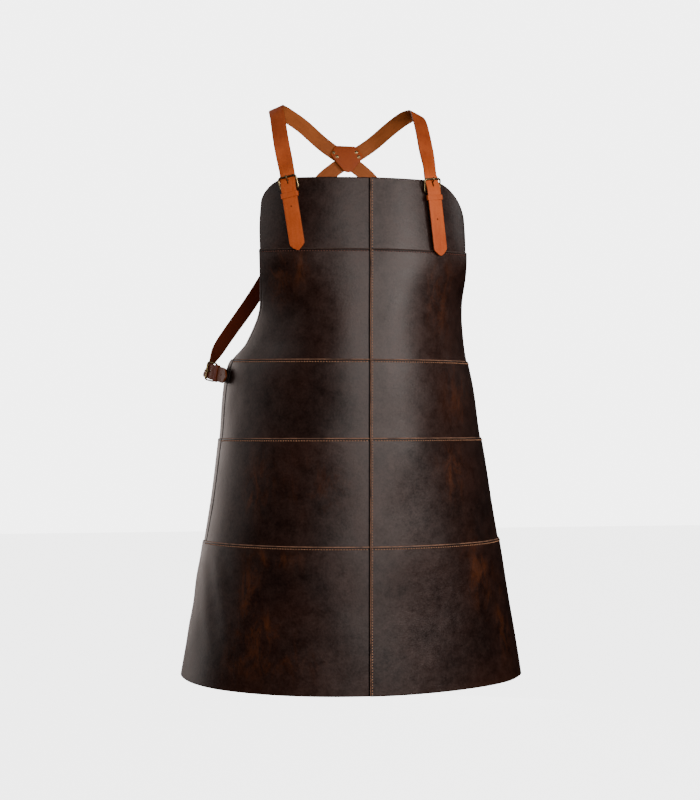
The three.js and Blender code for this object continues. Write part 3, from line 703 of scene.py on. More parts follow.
def make_strap(name, materials):
    """A strap with its holes, and with shading values by its length, width and thickness."""
    strap = STRAP_WAYS[name]
    knots = strap_knots(strap)
    points = [knot[0] for knot in knots]
    rings = []
    shades = {"run": [], "across": [], "edge": [], "face": []}
    run = 0.0
    for k, (near, far) in enumerate(zip(knots, knots[1:])):
        span = np.linalg.norm(far[0] - near[0])
        pieces = max(2, int(round(span / STRAP_STEP)))
        is_last = k == len(knots) - 2
        for p in range(pieces + 1 if is_last else pieces):
            t = p / pieces
            centre, tangent = catmull(points, k, t)
            tangent = unit(tangent)
            blend = smooth_step(t, 0, 1)
            outward = near[1] * (1 - blend) + far[1] * blend
            across = unit(np.cross(outward, tangent))
            normal = unit(np.cross(tangent, across))
            half = near[2] * (1 - t) + far[2] * t
            profile = strip_profile(half, STRAP_THICK, STRAP_CORNER, STRAP_CELLS, STRAP_CROWN)
            rings.append(set_out(profile, centre, across, normal))
            shades["run"].append(np.full(len(profile), (run + span * t) * MM))
            shades["across"].append(profile[:, 0] * MM)
            shades["edge"].append(np.abs(profile[:, 0]) / half)
            shades["face"].append(np.clip(profile[:, 1] / STRAP_THICK + 0.5, 0, 1))
        run += span
    attributes = {key: np.concatenate(values) for key, values in shades.items()}
    piece = new_object(name + "_leather", *loft(rings), materials, attributes=attributes)
    cut_away(piece, hole_cutters(BUCKLES[strap["front"]]) + hole_cutters(BUCKLES[strap["side"]]))
    return piece


def new_cutter(outline, heights, matrix):
    """Solid over an outline in a buckle's frame, between two heights."""
    levels = [np.full(len(outline), height) for height in heights]
    rings = [placed(np.column_stack([outline, level]), matrix) for level in levels]
    return new_object("cutter", *loft(rings), [])


def hole_cutters(buckle):
    """Solids that punch the prong's long hole and the two round ones."""
    outlines = []
    turn = circle(HOLE_POINTS)
    for along in buckle["holes"]:
        radius = HOLE_RADIUS if along > 0 else PULLED_HOLE_RADIUS
        outlines.append(np.stack([radius * np.cos(turn), along + radius * np.sin(turn)], 1))
    half = PRONG_HOLE["width"] / 2
    reach = PRONG_HOLE["length"] / 2 - half
    turn = np.linspace(0, math.pi, PRONG_HOLE["end_points"])
    far = np.stack([half * np.cos(turn), PRONG_HOLE["along"] + reach + half * np.sin(turn)], 1)
    near = np.stack([-half * np.cos(turn), PRONG_HOLE["along"] - reach - half * np.sin(turn)], 1)
    outlines.append(np.concatenate([far, near]))
    return [new_cutter(outline, HOLE_REACH, buckle_frame(buckle)) for outline in outlines]


def copy_shades(old, new):
    """Gives each point of a cut mesh the shading values of the nearest point before the cut."""
    nearest = KDTree(len(old.vertices))
    for vertex in old.vertices:
        nearest.insert(vertex.co, vertex.index)
    nearest.balance()
    found = [nearest.find(vertex.co)[1] for vertex in new.vertices]
    for shade in old.attributes:
        if shade.data_type == "FLOAT" and shade.domain == "POINT":
            for point, index in zip(new.attributes[shade.name].data, found):
                point.value = shade.data[index].value


def cut_away(obj, cutters):
    """Cuts each cutter out of the piece for good and removes the cutter."""
    for cutter in cutters:
        modifier = obj.modifiers.new("cut", "BOOLEAN")
        modifier.operation = "DIFFERENCE"
        modifier.solver = "MANIFOLD"
        modifier.object = cutter
    shown = obj.evaluated_get(bpy.context.evaluated_depsgraph_get())
    whole = bpy.data.meshes.new_from_object(shown)
    welded = bmesh.new()
    welded.from_mesh(whole)
    bmesh.ops.remove_doubles(welded, verts=welded.verts, dist=WELD)
    bmesh.ops.dissolve_degenerate(welded, edges=welded.edges, dist=WELD)
    welded.to_mesh(whole)
    welded.free()
    obj.modifiers.clear()
    old = obj.data
    copy_shades(old, whole)
    obj.data = whole
    bpy.data.meshes.remove(old)
    for cutter in cutters:
        bpy.data.objects.remove(cutter)
    obj.data.set_sharp_from_angle(angle=math.radians(CUT_SHARP))


def tube(path, radius, sides, closed=False):
    """Round bar along points; radius is one number or one for each point."""
    path = np.asarray(path, float)
    count = len(path)
    radius = np.broadcast_to(np.asarray(radius, float), (count,))
    turn = circle(sides)[:, None]
    rings = []
    for k in range(count):
        before = path[(k - 1) % count if closed else max(k - 1, 0)]
        after = path[(k + 1) % count if closed else min(k + 1, count - 1)]
        tangent = unit(after - before)
        reference = np.array((0, 0, 1.0)) if abs(tangent[2]) < 0.9 else np.array((0, 1.0, 0))
        u = unit(np.cross(tangent, reference))
        v = np.cross(tangent, u)
        rings.append(path[k] + radius[k] * (np.cos(turn) * u + np.sin(turn) * v))
    return loft(rings, closed)


def round_corners(half, low, high, corner, part):
    """Centre and angle of each step round the four corners of a box."""
    for x, y, start in ((half, high, 0), (-half, high, 90), (-half, low, 180), (half, low, 270)):
        centre = (x - math.copysign(corner, x), y - corner if y == high else y + corner)
        for turn in np.radians(np.linspace(start, start + 90, CORNER_POINTS[part])):
            yield centre, turn


def frame_path():
    """Middle line and radii of the wire frame, its outer bar thicker and raised above the strap."""
    points, radii = [], []
    half = FRAME_WIDTH / 2 - WIRE_RADIUS
    for (centre_x, centre_y), turn in round_corners(half, -FRAME_LENGTH, 0, FRAME_CORNER, "frame"):
        y = centre_y + FRAME_CORNER * math.sin(turn)
        rise = (OUTER_BAR_HEIGHT - HEEL_HEIGHT) * (-y / FRAME_LENGTH)
        points.append((centre_x + FRAME_CORNER * math.cos(turn), y, HEEL_HEIGHT + rise))
        swell = float(smooth_step(-y, FRAME_LENGTH - FRAME_CORNER, FRAME_LENGTH))
        radii.append(WIRE_RADIUS + (OUTER_BAR_RADIUS - WIRE_RADIUS) * swell)
    return points, radii


def prong_parts():
    """Prong with an eye round the heel bar, coming up through the strap onto the outer bar."""
    eye_radius = WIRE_RADIUS + GAP + PRONG_RADIUS
    turn = circle(EYE_POINTS)
    eye = np.stack([0 * turn, eye_radius * np.cos(turn), HEEL_HEIGHT + eye_radius * np.sin(turn)], 1)
    tip_height = OUTER_BAR_HEIGHT + OUTER_BAR_RADIUS + GAP + PRONG_RADIUS
    route = [(-eye_radius, HEEL_HEIGHT), *PRONG_WAY]
    route += [(-FRAME_LENGTH + past, tip_height) for past in PRONG_RESTS]
    knots = [np.array((0, along, height), float) for along, height in route]
    steps = np.linspace(0, 1, PRONG_STEPS + 1)[:-1]
    path = [catmull(knots, k, t)[0] for k in range(len(knots) - 1) for t in steps]
    path.append(knots[-1])
    radius = np.full(len(path), PRONG_RADIUS)
    radius[-len(PRONG_TIP):] *= PRONG_TIP
    return merged([tube(eye, PRONG_RADIUS, EYE_SIDES, closed=True), tube(path, radius, PRONG_SIDES)])


def tab_parts(flare):
    """Tab that lies on the sheet, turns round the heel bar and comes back on itself."""
    lower = GAP + LEATHER / 2
    upper = lower + LEATHER + GAP
    turn_radius = HEEL_HEIGHT - lower
    bend = TAB_SEAT + TAB_BEND
    far = TAB_LENGTH - TAB_SHORTER
    route = [(TAB_LENGTH, lower + sheet_rise(TAB_LENGTH, flare)), (bend, lower + sheet_rise(bend, flare)),
             (TAB_SEAT, lower), (TAB_SEAT - TAB_BEND, lower)]
    for turn in np.linspace(0, math.pi, TAB_TURN_POINTS):
        route.append((-turn_radius * math.sin(turn), HEEL_HEIGHT - turn_radius * math.cos(turn)))
    route += [*TAB_WAY, (TAB_BACK, upper), (TAB_SEAT, upper), (far, upper + sheet_rise(far, flare))]
    across = np.array((1.0, 0, 0))
    profile = strip_profile(TAB_WIDTH / 2, LEATHER, TAB_CORNER, TAB_CELLS)
    rings = []
    for k, (along, height) in enumerate(route):
        before, after = route[max(k - 1, 0)], route[min(k + 1, len(route) - 1)]
        tangent = unit(np.array((0, after[0] - before[0], after[1] - before[1]), float))
        rings.append(set_out(profile, np.array((0, along, height)), across, np.cross(tangent, across)))
    return loft(rings)


def keeper_parts():
    """Closed leather band round the strap."""
    corner = KEEPER["corner"]
    half = STRAP_WIDTH / 2 + GAP + KEEPER["wall"] / 2
    low = KEEPER["lowest"] + KEEPER["wall"] / 2
    high = low + STRAP_THICK + 2 * GAP + KEEPER["wall"]
    along = np.array((0, 1.0, 0))
    profile = strip_profile(KEEPER_HALF, KEEPER["wall"], KEEPER["rim"], KEEPER_CELLS)
    rings = []
    for (x, height), turn in round_corners(half, low, high, corner, "keeper"):
        out = np.array((math.cos(turn), 0, math.sin(turn)))
        centre = np.array((x, KEEPER_MIDDLE, height)) + corner * out
        rings.append(set_out(profile, centre, along, out))
    return loft(rings, closed_path=True)


def turned_rings(profile, radius, height, count, along=0.0):
    """Level rings from shares of a radius and a height, about a point along x."""
    turn = circle(count)
    return [np.stack([along + share * radius * np.cos(turn), share * radius * np.sin(turn),
                      np.full(count, up * height)], 1) for share, up in profile]


RIVET_PROFILE = ((0.02, 0), (1.0, 0), (1.0, 0.16), (0.9, 0.24), (0.8, 0.28), (0.74, 0.5), (0.58, 0.8),
                 (0.36, 0.95), (0.15, 1.0), (0.02, 1.0))


def rivet_parts(radius):
    """Domed rivet head on a thin rim, standing on a face."""
    return loft(turned_rings(RIVET_PROFILE, radius, RIVET_HEIGHT, RIVET_POINTS))


# Patch where the straps cross, on their inner side, and its four rivets
CROSSING = {"place": (8.0, 71.9, -63.0), "turn": 4.0}
PATCH_OUTLINE = ((-29, 6), (-20, 22), (17, 22), (31, 4), (9, -24), (-3, -24))
PATCH_LAYERS = ((0.03, 0), (0.5, 0), (0.985, 0), (1.0, 0.3), (1.0, 1.1), (0.985, 1.45), (0.96, LEATHER),
                (0.8, LEATHER), (0.55, LEATHER), (0.3, LEATHER), (0.03, LEATHER))
PATCH_RIVETS = ((-23, 9.5), (-17, 3), (18, 12), (22, 4))
PATCH_RIVET_RADIUS = 2.8
PATCH_CORNER = 5.0
PATCH_DOME = 0.5


def rounded_outline(points, radius, steps):
    points = [np.array(point, float) for point in points]
    outline = []
    for k, corner in enumerate(points):
        before = corner + unit(points[k - 1] - corner) * radius
        after = corner + unit(points[(k + 1) % len(points)] - corner) * radius
        for t in np.linspace(0, 1, steps):
            outline.append(before * (1 - t) ** 2 + 2 * corner * t * (1 - t) + after * t**2)
    return np.array(outline)


def patch_parts():
    """Six-sided patch with rounded corners and a slightly domed face."""
    outline = rounded_outline(PATCH_OUTLINE, PATCH_CORNER, CORNER_POINTS["patch"])
    middle = outline.mean(0)
    rings = []
    for share, depth in PATCH_LAYERS:
        ring = middle + (outline - middle) * share
        dome = PATCH_DOME * (1 - share**2) if depth == LEATHER else 0
        rings.append(np.column_stack([ring[:, 0], np.full(len(ring), -depth - dome), ring[:, 1]]))
    return loft(rings)


# Sewing: rows below a lapped edge, a row beside the middle seam and dark rows inside the outer edges
STITCH_BELOW = 4.2
STITCH_BESIDE = 4.4
ROW_STARTS = {-1: -1.6, 1: SEAM_BEVEL["reach"] + 6}
SEAM_STARTS = {"bib": 3.0, "other": 1.6}
SEAM_ENDS = {"hem": 2.5, "other": 0.5}
EDGE_ENDS = 1.0
LINE_POINTS = {"row": 260, "seam": 120, "edge": 160}
ROW_PITCH = 4.35
SEAM_PITCH = 4.25
EDGE_PITCH = 3.6
STITCH_SHARE = 0.58
STITCH_POINTS = 8
STITCH_SKEW = 0.05
THREAD_RADIUS = 0.72
DARK_THREAD_RADIUS = 0.32
STITCH_SINK = 0.1
STITCH_PROFILE = ((-1, 0.2, -0.9), (-0.86, 0.75, -0.25), (-0.5, 1, 0.25), (0, 1.05, 0.4),
                  (0.5, 1, 0.25), (0.86, 0.75, -0.25), (1, 0.2, -0.9))
# Buttons at the needle holes carry the painted shade of the holes
PIT_RADIUS = 0.85
PIT_HEIGHT = 0.12
PIT_PROFILE = ((0.6, -1), (1, 0), (0.6, 0.6), (0.1, 0.7))
rng = np.random.default_rng(11)


def stitch_shape(length, radius):
    """One stitch that dips into the leather at both ends, along, across and out."""
    turn = circle(STITCH_POINTS)
    rings = [np.stack([np.full(STITCH_POINTS, along * length / 2), radius * swell * np.cos(turn),
                       radius * (out + swell * np.sin(turn))], 1)
             for along, swell, out in STITCH_PROFILE]
    return loft(rings)


def pit_shape(along):
    """Low button at a needle hole, dark with painted shade."""
    return loft(turned_rings(PIT_PROFILE, PIT_RADIUS, PIT_HEIGHT, STITCH_POINTS, along))


def sewn_row(points, normals, pitch, radius):
    """Stitches and needle holes along a line on the leather."""
    run = np.concatenate([[0], np.cumsum(np.linalg.norm(np.diff(points, axis=0), axis=1))])
    count = max(int(run[-1] / pitch), 1)
    step = run[-1] / count
    at = (np.arange(count) + 0.5) * step

    def read(values, where):
        return np.stack([np.interp(where, run, values[:, k]) for k in range(3)], 1)

    centre, normal = read(points, at), read(normals, at)
    tangent = read(points, at + step / 2) - read(points, at - step / 2)
    tangent /= np.linalg.norm(tangent, axis=1, keepdims=True)
    across = np.cross(normal, tangent)
    slanted = tangent + across * rng.normal(0, STITCH_SKEW, count)[:, None]
    parts = []
    shapes = ((stitch_shape(step * STITCH_SHARE, radius), slanted), (pit_shape(step / 2), tangent))
    for (base, faces), axis in shapes:
        spread = (centre[:, None] + base[None, :, :1] * axis[:, None] + base[None, :, 1:2] * across[:, None]
                  + (base[None, :, 2:] - STITCH_SINK * radius) * normal[:, None])
        all_faces = [[v + k * len(base) for v in face] for k in range(count) for face in faces]
        parts.append((spread.reshape(-1, 3), all_faces))
    return parts


def row_line(index, side):
    """The line of stitches below a panel's lapped top edge."""
    level = ROWS[index - 1]["ends"] - STITCH_BELOW
    start = seam_theta(level, side, ROW_STARTS[side])
    end = edge_theta(level, side, EDGE_LINES[index]["row"])
    theta = np.linspace(start, end, LINE_POINTS["row"])
    z = panel_top(index, theta / section(level, side)[2], side) - STITCH_BELOW
    return panel_surface(index, side, theta, z)


def seam_line(index):
    """The line of stitches beside the middle seam, on a right panel."""
    top = float(panel_top(index, 0.0, 1)) - SEAM_STARTS["other" if index else "bib"]
    bottom = ROWS[index]["middle"] + SEAM_ENDS["hem" if index == HEM_ROW else "other"]
    z = np.linspace(top, bottom, LINE_POINTS["seam"])
    return panel_surface(index, 1, seam_theta(z, 1, STITCH_BESIDE), z)


def edge_line(index, side):
    """The dark line of stitches inside a panel's outer edge."""
    line = EDGE_LINES[index]
    top = min(ROWS[index - 1]["ends"] - STITCH_BELOW, EDGE_LINES_FROM["full"])
    z = np.linspace(top, ROWS[index]["ends"] - EDGE_ENDS, LINE_POINTS["edge"])
    points, normals = panel_surface(index, side, edge_theta(z, side, line["row"]), z)
    return points - normals * line["drop"], normals


def make_sewing(index, side, materials):
    """All stitches of one panel as one piece, or None where it has none."""
    # The needle holes are coloured dark as painted shade
    tan, hole, dark, red = range(4)
    lines = []
    if index:
        lines.append((row_line(index, side), ROW_PITCH, THREAD_RADIUS, red if index == 1 else tan))
    if side > 0:
        lines.append((seam_line(index), SEAM_PITCH, THREAD_RADIUS, tan))
    if EDGE_LINES[index]["drop"]:
        lines.append((edge_line(index, side), EDGE_PITCH, DARK_THREAD_RADIUS, dark))
    if not lines:
        return None
    parts, slots = [], []
    for (points, normals), pitch, radius, slot in lines:
        stitches, pits = sewn_row(points, normals, pitch, radius)
        parts += [stitches, pits]
        slots += [slot] * len(stitches[1]) + [hole] * len(pits[1])
        if slot != dark:
            inside, _ = sewn_row(points - normals * (PLY + LEATHER), -normals, pitch, radius)
            parts.append(inside)
            slots += [slot] * len(inside[1])
    return new_object(panel_name(index, side) + "_sewing", *merged(parts), materials, slots)


# Materials
class Shade:
    """A node tree; most methods add a node and give the socket of its result."""

    def __init__(self, tree):
        self.tree = tree

    def fill(self, node, inputs):
        """Links or sets inputs of a node; colours are given without their cover."""
        for key, value in inputs.items():
            socket = node.inputs[key]
            if isinstance(value, bpy.types.NodeSocket):
                self.tree.links.new(value, socket)
            else:
                socket.default_value = (*value, 1.0) if socket.type == "RGBA" else value

    def add(self, kind, inputs=None, result=0, **settings):
        node = self.tree.nodes.new("ShaderNode" + kind)
        for key, value in settings.items():
            setattr(node, key, value)
        self.fill(node, inputs or {})
        return node.outputs[result]

    def surface(self, **inputs):
        """Inputs of the surface itself, with _ for each space in their names."""
        shader = next(node for node in self.tree.nodes if node.type == "BSDF_PRINCIPLED")
        self.fill(shader, {key.replace("_", " "): value for key, value in inputs.items()})

    def place(self):
        return self.add("TexCoord", result="Object")

    def stored(self, name):
        return self.add("Attribute", result="Fac", attribute_name=name)

    def mix(self, share, first, second):
        return self.add("Mix", {0: share, 6: first, 7: second}, 2, data_type="RGBA")

    def ramp(self, value, low, high, to_low=0.0, to_high=1.0):
        return self.add("MapRange", {"Value": value, "From Min": low, "From Max": high,
                                     "To Min": to_low, "To Max": to_high}, "Result")

    def maths(self, operation, first, second):
        return self.add("Math", {0: first, 1: second}, operation=operation)

    def times(self, first, second):
        return self.maths("MULTIPLY", first, second)

    def blend(self, *pairs):
        """Sum of values, each with its share."""
        total = None
        for value, share in pairs:
            part = self.times(value, share)
            total = self.maths("ADD", total, part) if total else part
        return total

    def stretched(self, vector, scale):
        return self.add("VectorMath", {0: vector, 1: scale}, operation="MULTIPLY")

    def noise(self, vector, scale, detail, roughness=0.5, distortion=0.0):
        return self.add("TexNoise", {"Vector": vector, "Scale": scale, "Detail": detail,
                                     "Roughness": roughness, "Distortion": distortion}, "Fac")

    def bump(self, *heights):
        """Chain of bumps, each of a height, its strength and its distance in metres."""
        inputs = {}
        for height, strength, distance in heights:
            inputs.update({"Height": height, "Strength": strength, "Distance": distance})
            inputs["Normal"] = self.add("Bump", inputs, "Normal")
        return inputs["Normal"]


def new_material(name):
    material = bpy.data.materials.new(name)
    material.use_nodes = True
    return material, Shade(material.node_tree)


def grain_material():
    """Dark waxed pull-up leather with warm clouds, rubbed scuffs and fine grain."""
    material, shade = new_material("waxed_leather")
    cut, painted_shade, scuff, wear = (shade.stored(name) for name in ("cut", "painted_shade", "scuff", "wear"))
    shift = shade.add("CombineXYZ", {"X": cut, "Z": cut})
    vector = shade.add("VectorMath", {0: shade.place(), 1: shift}, operation="ADD")
    clouds = shade.noise(vector, 8.0, 5.0, 0.6)
    mottle = shade.noise(vector, 52.0, 9.0, 0.72)
    fine = shade.noise(vector, 300.0, 6.0, 0.66)
    grainy = shade.blend((mottle, 0.6), (fine, 0.4))
    tone = shade.blend((clouds, 0.4), (grainy, 0.6))
    hide = shade.mix(shade.ramp(tone, 0.41, 0.60), (0.0080, 0.0025, 0.0017), (0.0270, 0.0086, 0.0052))
    veins = shade.noise(shade.stretched(vector, (1.0, 1.0, 0.45)), 46.0, 10.0, 0.75, 0.6)
    rub = shade.times(scuff, shade.ramp(veins, 0.47, 0.68))
    scuffed = shade.mix(shade.ramp(rub, 0.0, 0.9, 0.0, 0.75), hide, (0.105, 0.0265, 0.0066))
    worn = shade.mix(shade.times(wear, 0.3), scuffed, (0.050, 0.019, 0.010))
    pebble = shade.noise(shade.stretched(vector, (1.0, 1.0, 1.9)), 360.0, 4.0, 0.55)
    cells = shade.add("TexVoronoi", {"Vector": vector, "Scale": 720.0, "Randomness": 1.0}, "Distance")
    creases = shade.noise(vector, 95.0, 8.0, 0.64, 0.5)
    wax = shade.ramp(grainy, 0.38, 0.62, 0.26, 0.45)
    # Painted shade darkens the colour and takes away the sheen
    shade.surface(
        Base_Color=shade.mix(painted_shade, worn, (0.0016, 0.0007, 0.0006)),
        Roughness=shade.ramp(grainy, 0.38, 0.62, 0.33, 0.46),
        Specular_IOR_Level=shade.times(wax, shade.ramp(painted_shade, 0.0, 1.0, 1.0, 0.05)),
        Specular_Tint=(1.0, 0.90, 0.85),
        Normal=shade.bump((creases, 0.22, 0.0010), (pebble, 0.22, 0.0005), (cells, 0.16, 0.0002)),
    )
    return material


def flesh_material():
    """Suede inner face of the panels."""
    material, shade = new_material("flesh_side")
    vector = shade.place()
    nap = shade.noise(vector, 240.0, 6.0, 0.7)
    tone = shade.blend((nap, 0.5), (shade.noise(vector, 16.0, 4.0, 0.6), 0.5))
    colour = shade.mix(shade.ramp(tone, 0.36, 0.64), (0.050, 0.026, 0.016), (0.105, 0.056, 0.033))
    shade.surface(Base_Color=colour, Roughness=0.93, Sheen_Weight=0.15,
                  Normal=shade.bump((nap, 0.5, 0.0006)))
    return material


WAXED_EDGE = (0.040, 0.017, 0.010)


def edge_material(name, low, high):
    """Raw cut edge of leather, waxed in places."""
    material, shade = new_material(name)
    vector = shade.place()
    fibres = shade.noise(vector, 420.0, 5.0, 0.65)
    raw = shade.mix(shade.ramp(fibres, 0.35, 0.65), low, high)
    handled = shade.ramp(shade.noise(vector, 34.0, 5.0, 0.65), 0.48, 0.64, 0.0, 0.85)
    shade.surface(Base_Color=shade.mix(handled, raw, WAXED_EDGE),
                  Normal=shade.bump((fibres, 0.4, 0.0003)), Roughness=0.72)
    return material


# Tan leather: both tones of a face, the rim, and the painted shade on the stretch at the back and on the
# tail at the side
TAN_FACE = ((0.44, 0.066, 0.010), (0.61, 0.116, 0.024))
TAN_SUEDE = ((0.32, 0.080, 0.018), (0.44, 0.118, 0.030))
PATCH_FACE = ((0.31, 0.044, 0.002), (0.42, 0.072, 0.004))
BURNISHED = (0.17, 0.034, 0.006)
BACK_PAINTED_SHADE = (0.115, 0.0105, 0.001)
TAIL_PAINTED_SHADE = (0.125, 0.026, 0.006)


def strap_material(name, outer_tones):
    """Tan strap leather: smooth face, suede flesh side, burnished edges, and painted shade towards the side
    buckles.
    """
    material, shade = new_material(name)
    vector = shade.place()
    edge, face, run, across = (shade.stored(key) for key in ("edge", "face", "run", "across"))
    clouds = shade.noise(vector, 24.0, 4.0, 0.55)
    grain = shade.noise(vector, 420.0, 5.0, 0.6)
    lengthwise = shade.add("CombineXYZ", {"X": across, "Y": shade.times(run, 0.1)})
    streaks = shade.noise(lengthwise, 260.0, 5.0, 0.62)
    tone = shade.ramp(shade.blend((clouds, 0.45), (streaks, 0.3), (grain, 0.25)), 0.38, 0.62)
    outer = shade.mix(tone, *outer_tones)
    inner = shade.mix(tone, *TAN_SUEDE)
    sided = shade.mix(shade.ramp(face, 0.2, 0.55), inner, outer)
    # Painted shade on the strap's stretch at the back and on its tail at the side buckle
    back_shaded = shade.mix(shade.ramp(run, 0.66, 0.84, 0.0, 0.92), sided, BACK_PAINTED_SHADE)
    tail = shade.mix(shade.ramp(run, 1.04, 1.1), back_shaded, TAIL_PAINTED_SHADE)
    shade.surface(
        Base_Color=shade.mix(shade.ramp(edge, 0.93, 1.0), tail, BURNISHED),
        Roughness=shade.ramp(face, 0.2, 0.6, 0.7, 0.5),
        Specular_IOR_Level=0.18,
        Normal=shade.bump((clouds, 0.15, 0.0012), (grain, 0.16, 0.0003)),
    )
    return material


def brass_material():
    """Antique brass with a patchy dark patina."""
    material, shade = new_material("antique_brass")
    patina = shade.noise(shade.place(), 260.0, 5.0, 0.65)
    colour = shade.mix(shade.ramp(patina, 0.38, 0.62), (0.13, 0.085, 0.038), (0.38, 0.27, 0.13))
    shade.surface(Base_Color=colour, Roughness=shade.ramp(patina, 0.35, 0.65, 0.42, 0.24), Metallic=1.0,
                  Normal=shade.bump((patina, 0.1, 0.0003)))
    return material


def thread_material(name, low, high, roughness):
    """Twisted thread."""
    material, shade = new_material(name)
    twist = shade.noise(shade.place(), 900.0, 3.0)
    shade.surface(Base_Color=shade.mix(shade.ramp(twist, 0.35, 0.65), low, high), Roughness=roughness,
                  Normal=shade.bump((twist, 0.35, 0.0002)))
    return material


grain = grain_material()
flesh = flesh_material()
tan_edge = edge_material("tan_raw_edge", (0.135, 0.056, 0.028), (0.28, 0.132, 0.073))
dark_edge = edge_material("dark_raw_edge", (0.022, 0.011, 0.008), (0.060, 0.028, 0.016))
strap_leather = strap_material("strap_leather", TAN_FACE)
patch_leather = strap_material("patch_leather", PATCH_FACE)
brass = brass_material()
thread = thread_material("tan_thread", (0.28, 0.115, 0.054), (0.47, 0.220, 0.112), 0.62)
red_thread = thread_material("red_thread", (0.075, 0.018, 0.010), (0.15, 0.042, 0.022), 0.66)
dark_thread = thread_material("dark_thread", (0.010, 0.006, 0.005), (0.026, 0.014, 0.010), 0.7)
# Painted shade of the needle holes
hole_shade = thread_material("needle_hole_painted_shade", (0.004, 0.003, 0.002), (0.008, 0.005, 0.004), 0.9)


def stands_for(piece, node):
    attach(piece, "root")
    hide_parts(node)


# Straps, buckles and patch
for name in STRAP_WAYS:
    stands_for(make_strap(name, [strap_leather]), name)

slot_corners = [(sign * TAB_SLOT["half"], TAB_SLOT[end])
                for sign, end in ((1, "start"), (1, "end"), (-1, "end"), (-1, "start"))]
for name, buckle in BUCKLES.items():
    matrix = buckle_frame(buckle)
    rise = Matrix.Translation((0, RIVET_ALONG, sheet_rise(RIVET_ALONG, buckle["flare"])))
    rivet_seat = matrix @ rise @ Matrix.Rotation(math.radians(buckle["flare"]), 4, "X")
    rivet_seat = rivet_seat @ Matrix.Translation((0, 0, 2 * (GAP + LEATHER) + GAP))
    small_parts = (
        ("buckle", tube(*frame_path(), WIRE_SIDES, closed=True), matrix, brass, "brass"),
        ("prong", prong_parts(), matrix, brass, "brass"),
        ("tab", tab_parts(buckle["flare"]), matrix, grain, "panel_leather"),
        ("keeper", keeper_parts(), matrix, strap_leather, "strap_leather"),
        ("rivet", rivet_parts(RIVET_RADIUS), rivet_seat, brass, "brass"),
    )
    for part, (verts, faces), seat, material, slot in small_parts:
        node = name + "_" + part
        shades = {"face": np.ones(len(verts)), "edge": np.zeros(len(verts))}
        if part == "tab":
            # The tab is darkened with painted shade
            shades["painted_shade"] = np.full(len(verts), TAB_PAINTED_SHADE)
        if part == "keeper":
            shades["edge"] = np.abs(verts[:, 1] - KEEPER_MIDDLE) / KEEPER_HALF
            # Keepers at the side buckles get the painted shade of the strap's back stretch
            if "from_edge" in buckle:
                shades["run"] = np.ones(len(verts))
        verts = placed(verts, seat)
        piece = new_object(node + "_piece", verts, faces, [material], attributes=shades, sharp=PIECE_SHARP)
        if part == "tab":
            cut_away(piece, [new_cutter(slot_corners, TAB_SLOT["reach"], matrix)])
        stands_for(piece, node)

patch_turn = Matrix.Rotation(math.radians(CROSSING["turn"]), 4, "Z")
patch_frame = Matrix.Translation(CROSSING["place"]) @ patch_turn
verts, faces = patch_parts()
shades = {"face": np.ones(len(verts)), "edge": np.zeros(len(verts))}
verts = placed(verts, patch_frame)
patch = new_object("cross_patch_leather", verts, faces, [patch_leather],
                   attributes=shades, sharp=PATCH_SHARP)
stands_for(patch, "cross_patch")
for number, (x, z) in enumerate(PATCH_RIVETS, 1):
    node = f"cross_rivet_{number}"
    inward = Matrix.Translation((x, -LEATHER - GAP, z)) @ Matrix.Rotation(math.pi / 2, 4, "X")
    verts, faces = rivet_parts(PATCH_RIVET_RADIUS)
    verts = placed(verts, patch_frame @ inward)
    rivet = new_object(node + "_piece", verts, faces, [brass], sharp=PIECE_SHARP)
    stands_for(rivet, node)

# Panels with their sewing
for index in range(len(ROWS)):
    for side in (-1, 1):
        panel, flat, area = make_panel(index, side, [grain, tan_edge, flesh, dark_edge])
        stands_for(panel, panel_name(index, side))
        sewing = make_sewing(index, side, [thread, hole_shade, dark_thread, red_thread])
        if sewing:
            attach(sewing, "root")

# Floor, light and camera
FLOOR_Z = -1.42
FLOOR_HALF = 8.0
corners = ((-1, -1), (1, -1), (1, 1), (-1, 1))
floor_mesh = bpy.data.meshes.new("floor")
floor_mesh.from_pydata([(x * FLOOR_HALF, y * FLOOR_HALF, FLOOR_Z) for x, y in corners], [], [(0, 1, 2, 3)])
floor = bpy.data.objects.new("floor", floor_mesh)
bpy.context.scene.collection.objects.link(floor)
floor_material, floor_shade = new_material("pale_floor")
floor_shade.surface(Base_Color=(0.82, 0.82, 0.81), Roughness=0.8,
                    Emission_Color=(1.0, 1.0, 1.0), Emission_Strength=4.0)
floor_material.cycles.emission_sampling = "NONE"
floor_mesh.materials.append(floor_material)
floor.visible_diffuse = False
floor.visible_glossy = False

# The room is bright on one side behind the apron, dim elsewhere, dimmer high up and dark below
BRIGHT_SIDE = (-0.42, 0.91, 0.0)
DIM_ROOM = 0.03
BRIGHT_ROOM = 3.5
WARM_ROOM = (1.0, 0.88, 0.83)
SEEN_ROOM = 5.0
DARK_BELOW = (-0.13, 0.03)
DIMMER_ABOVE = (0.15, 0.5, 1.0, 0.4)
SIDE_REACH = (0.70, 0.97)
world = bpy.data.worlds.new("studio")
world.use_nodes = True
bpy.context.scene.world = world
sky = Shade(world.node_tree)
background = next(node for node in world.node_tree.nodes if node.type == "BACKGROUND")
direction = sky.add("TexCoord", result="Generated")
towards = sky.add("VectorMath", {0: direction, 1: BRIGHT_SIDE}, "Value", operation="DOT_PRODUCT")
upward = sky.add("SeparateXYZ", {0: direction}, "Z")
level = sky.times(sky.ramp(upward, *DARK_BELOW), sky.ramp(upward, *DIMMER_ABOVE))
surround = sky.times(level, sky.ramp(towards, *SIDE_REACH, DIM_ROOM, BRIGHT_ROOM))
seen_ray = sky.add("LightPath", result="Is Camera Ray")
sky.fill(background, {
    "Color": sky.mix(seen_ray, WARM_ROOM, (1.0, 1.0, 1.0)),
    "Strength": sky.maths("MAXIMUM", surround, sky.times(seen_ray, SEEN_ROOM)),
})

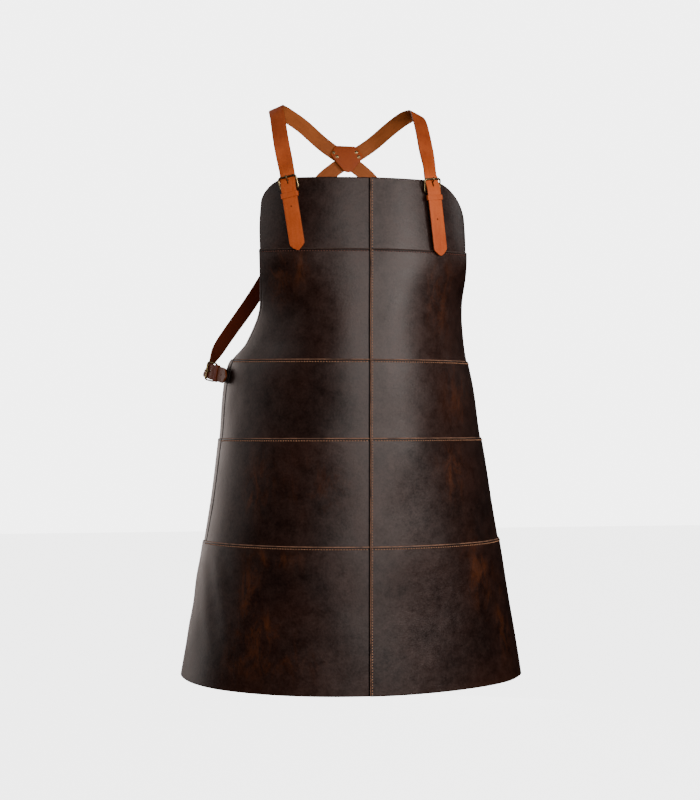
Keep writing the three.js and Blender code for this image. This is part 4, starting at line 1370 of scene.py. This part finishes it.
TARGET = Vector((0.0, -0.12, -0.5))
LIGHTS = table(
    "name azimuth distance height size power",
    ("key", 15, 2.6, 0.36, (3.0, 0.9), 39),
    ("right_key", 40, 2.6, 0.44, (0.7, 0.5), 22),
    ("left_key", -3, 2.6, 0.38, (0.6, 0.7), 7),
    ("right_strip", 160, 2.2, -0.2, (0.5, 1.6), 1.6),
    ("left_high", -80, 2.2, 0.87, (1.4, 0.45), 4),
    ("right_high", 100, 2.2, 0.87, (1.0, 0.45), 4),
    ("left_low", -116, 2.2, -0.74, (0.6, 0.3), 1.3),
    ("low_key", 13, 2.6, -0.42, (1.5, 0.8), 15),
    ("left_strip", -98, 2.2, 0.35, (0.6, 1.5), 2.5),
    ("overhead", 0, 0.4, 2.4, (3.2, 3.2), 10),
)
for row in LIGHTS:
    turn = math.radians(row["azimuth"])
    light = bpy.data.lights.new(row["name"], "AREA")
    light.shape = "RECTANGLE"
    light.size, light.size_y = row["size"]
    light.energy = row["power"]
    lamp = bpy.data.objects.new(row["name"], light)
    lamp.visible_camera = False
    level_way = Vector((math.sin(turn), -math.cos(turn), 0)) * row["distance"]
    spot = TARGET + level_way + Vector((0, 0, row["height"]))
    aim = (TARGET - spot).to_track_quat("-Z", "Y").to_matrix().to_4x4()
    lamp.matrix_world = Matrix.Translation(spot) @ aim
    bpy.context.scene.collection.objects.link(lamp)

CAMERA = {"azimuth": -8.162, "place": (-0.3055, -2.1892, -0.5132),
          "focal": 1299.3, "middle": (352.4, 415.0)}
PICTURE = (700, 800)
SENSOR = 36.0
camera = bpy.data.cameras.new("camera")
camera.sensor_width = SENSOR
camera.lens = CAMERA["focal"] * SENSOR / PICTURE[1]
camera.shift_x = (PICTURE[0] / 2 - CAMERA["middle"][0]) / PICTURE[1]
camera.shift_y = (CAMERA["middle"][1] - PICTURE[1] / 2) / PICTURE[1]
eye = bpy.data.objects.new("camera", camera)
turn = math.radians(CAMERA["azimuth"])
rightward = (math.cos(turn), math.sin(turn), 0)
backward = (math.sin(turn), -math.cos(turn), 0)
axes = Matrix((rightward, (0, 0, 1), backward)).transposed()
eye.matrix_world = Matrix.Translation(CAMERA["place"]) @ axes.to_4x4()
bpy.context.scene.collection.objects.link(eye)
bpy.context.scene.camera = eye
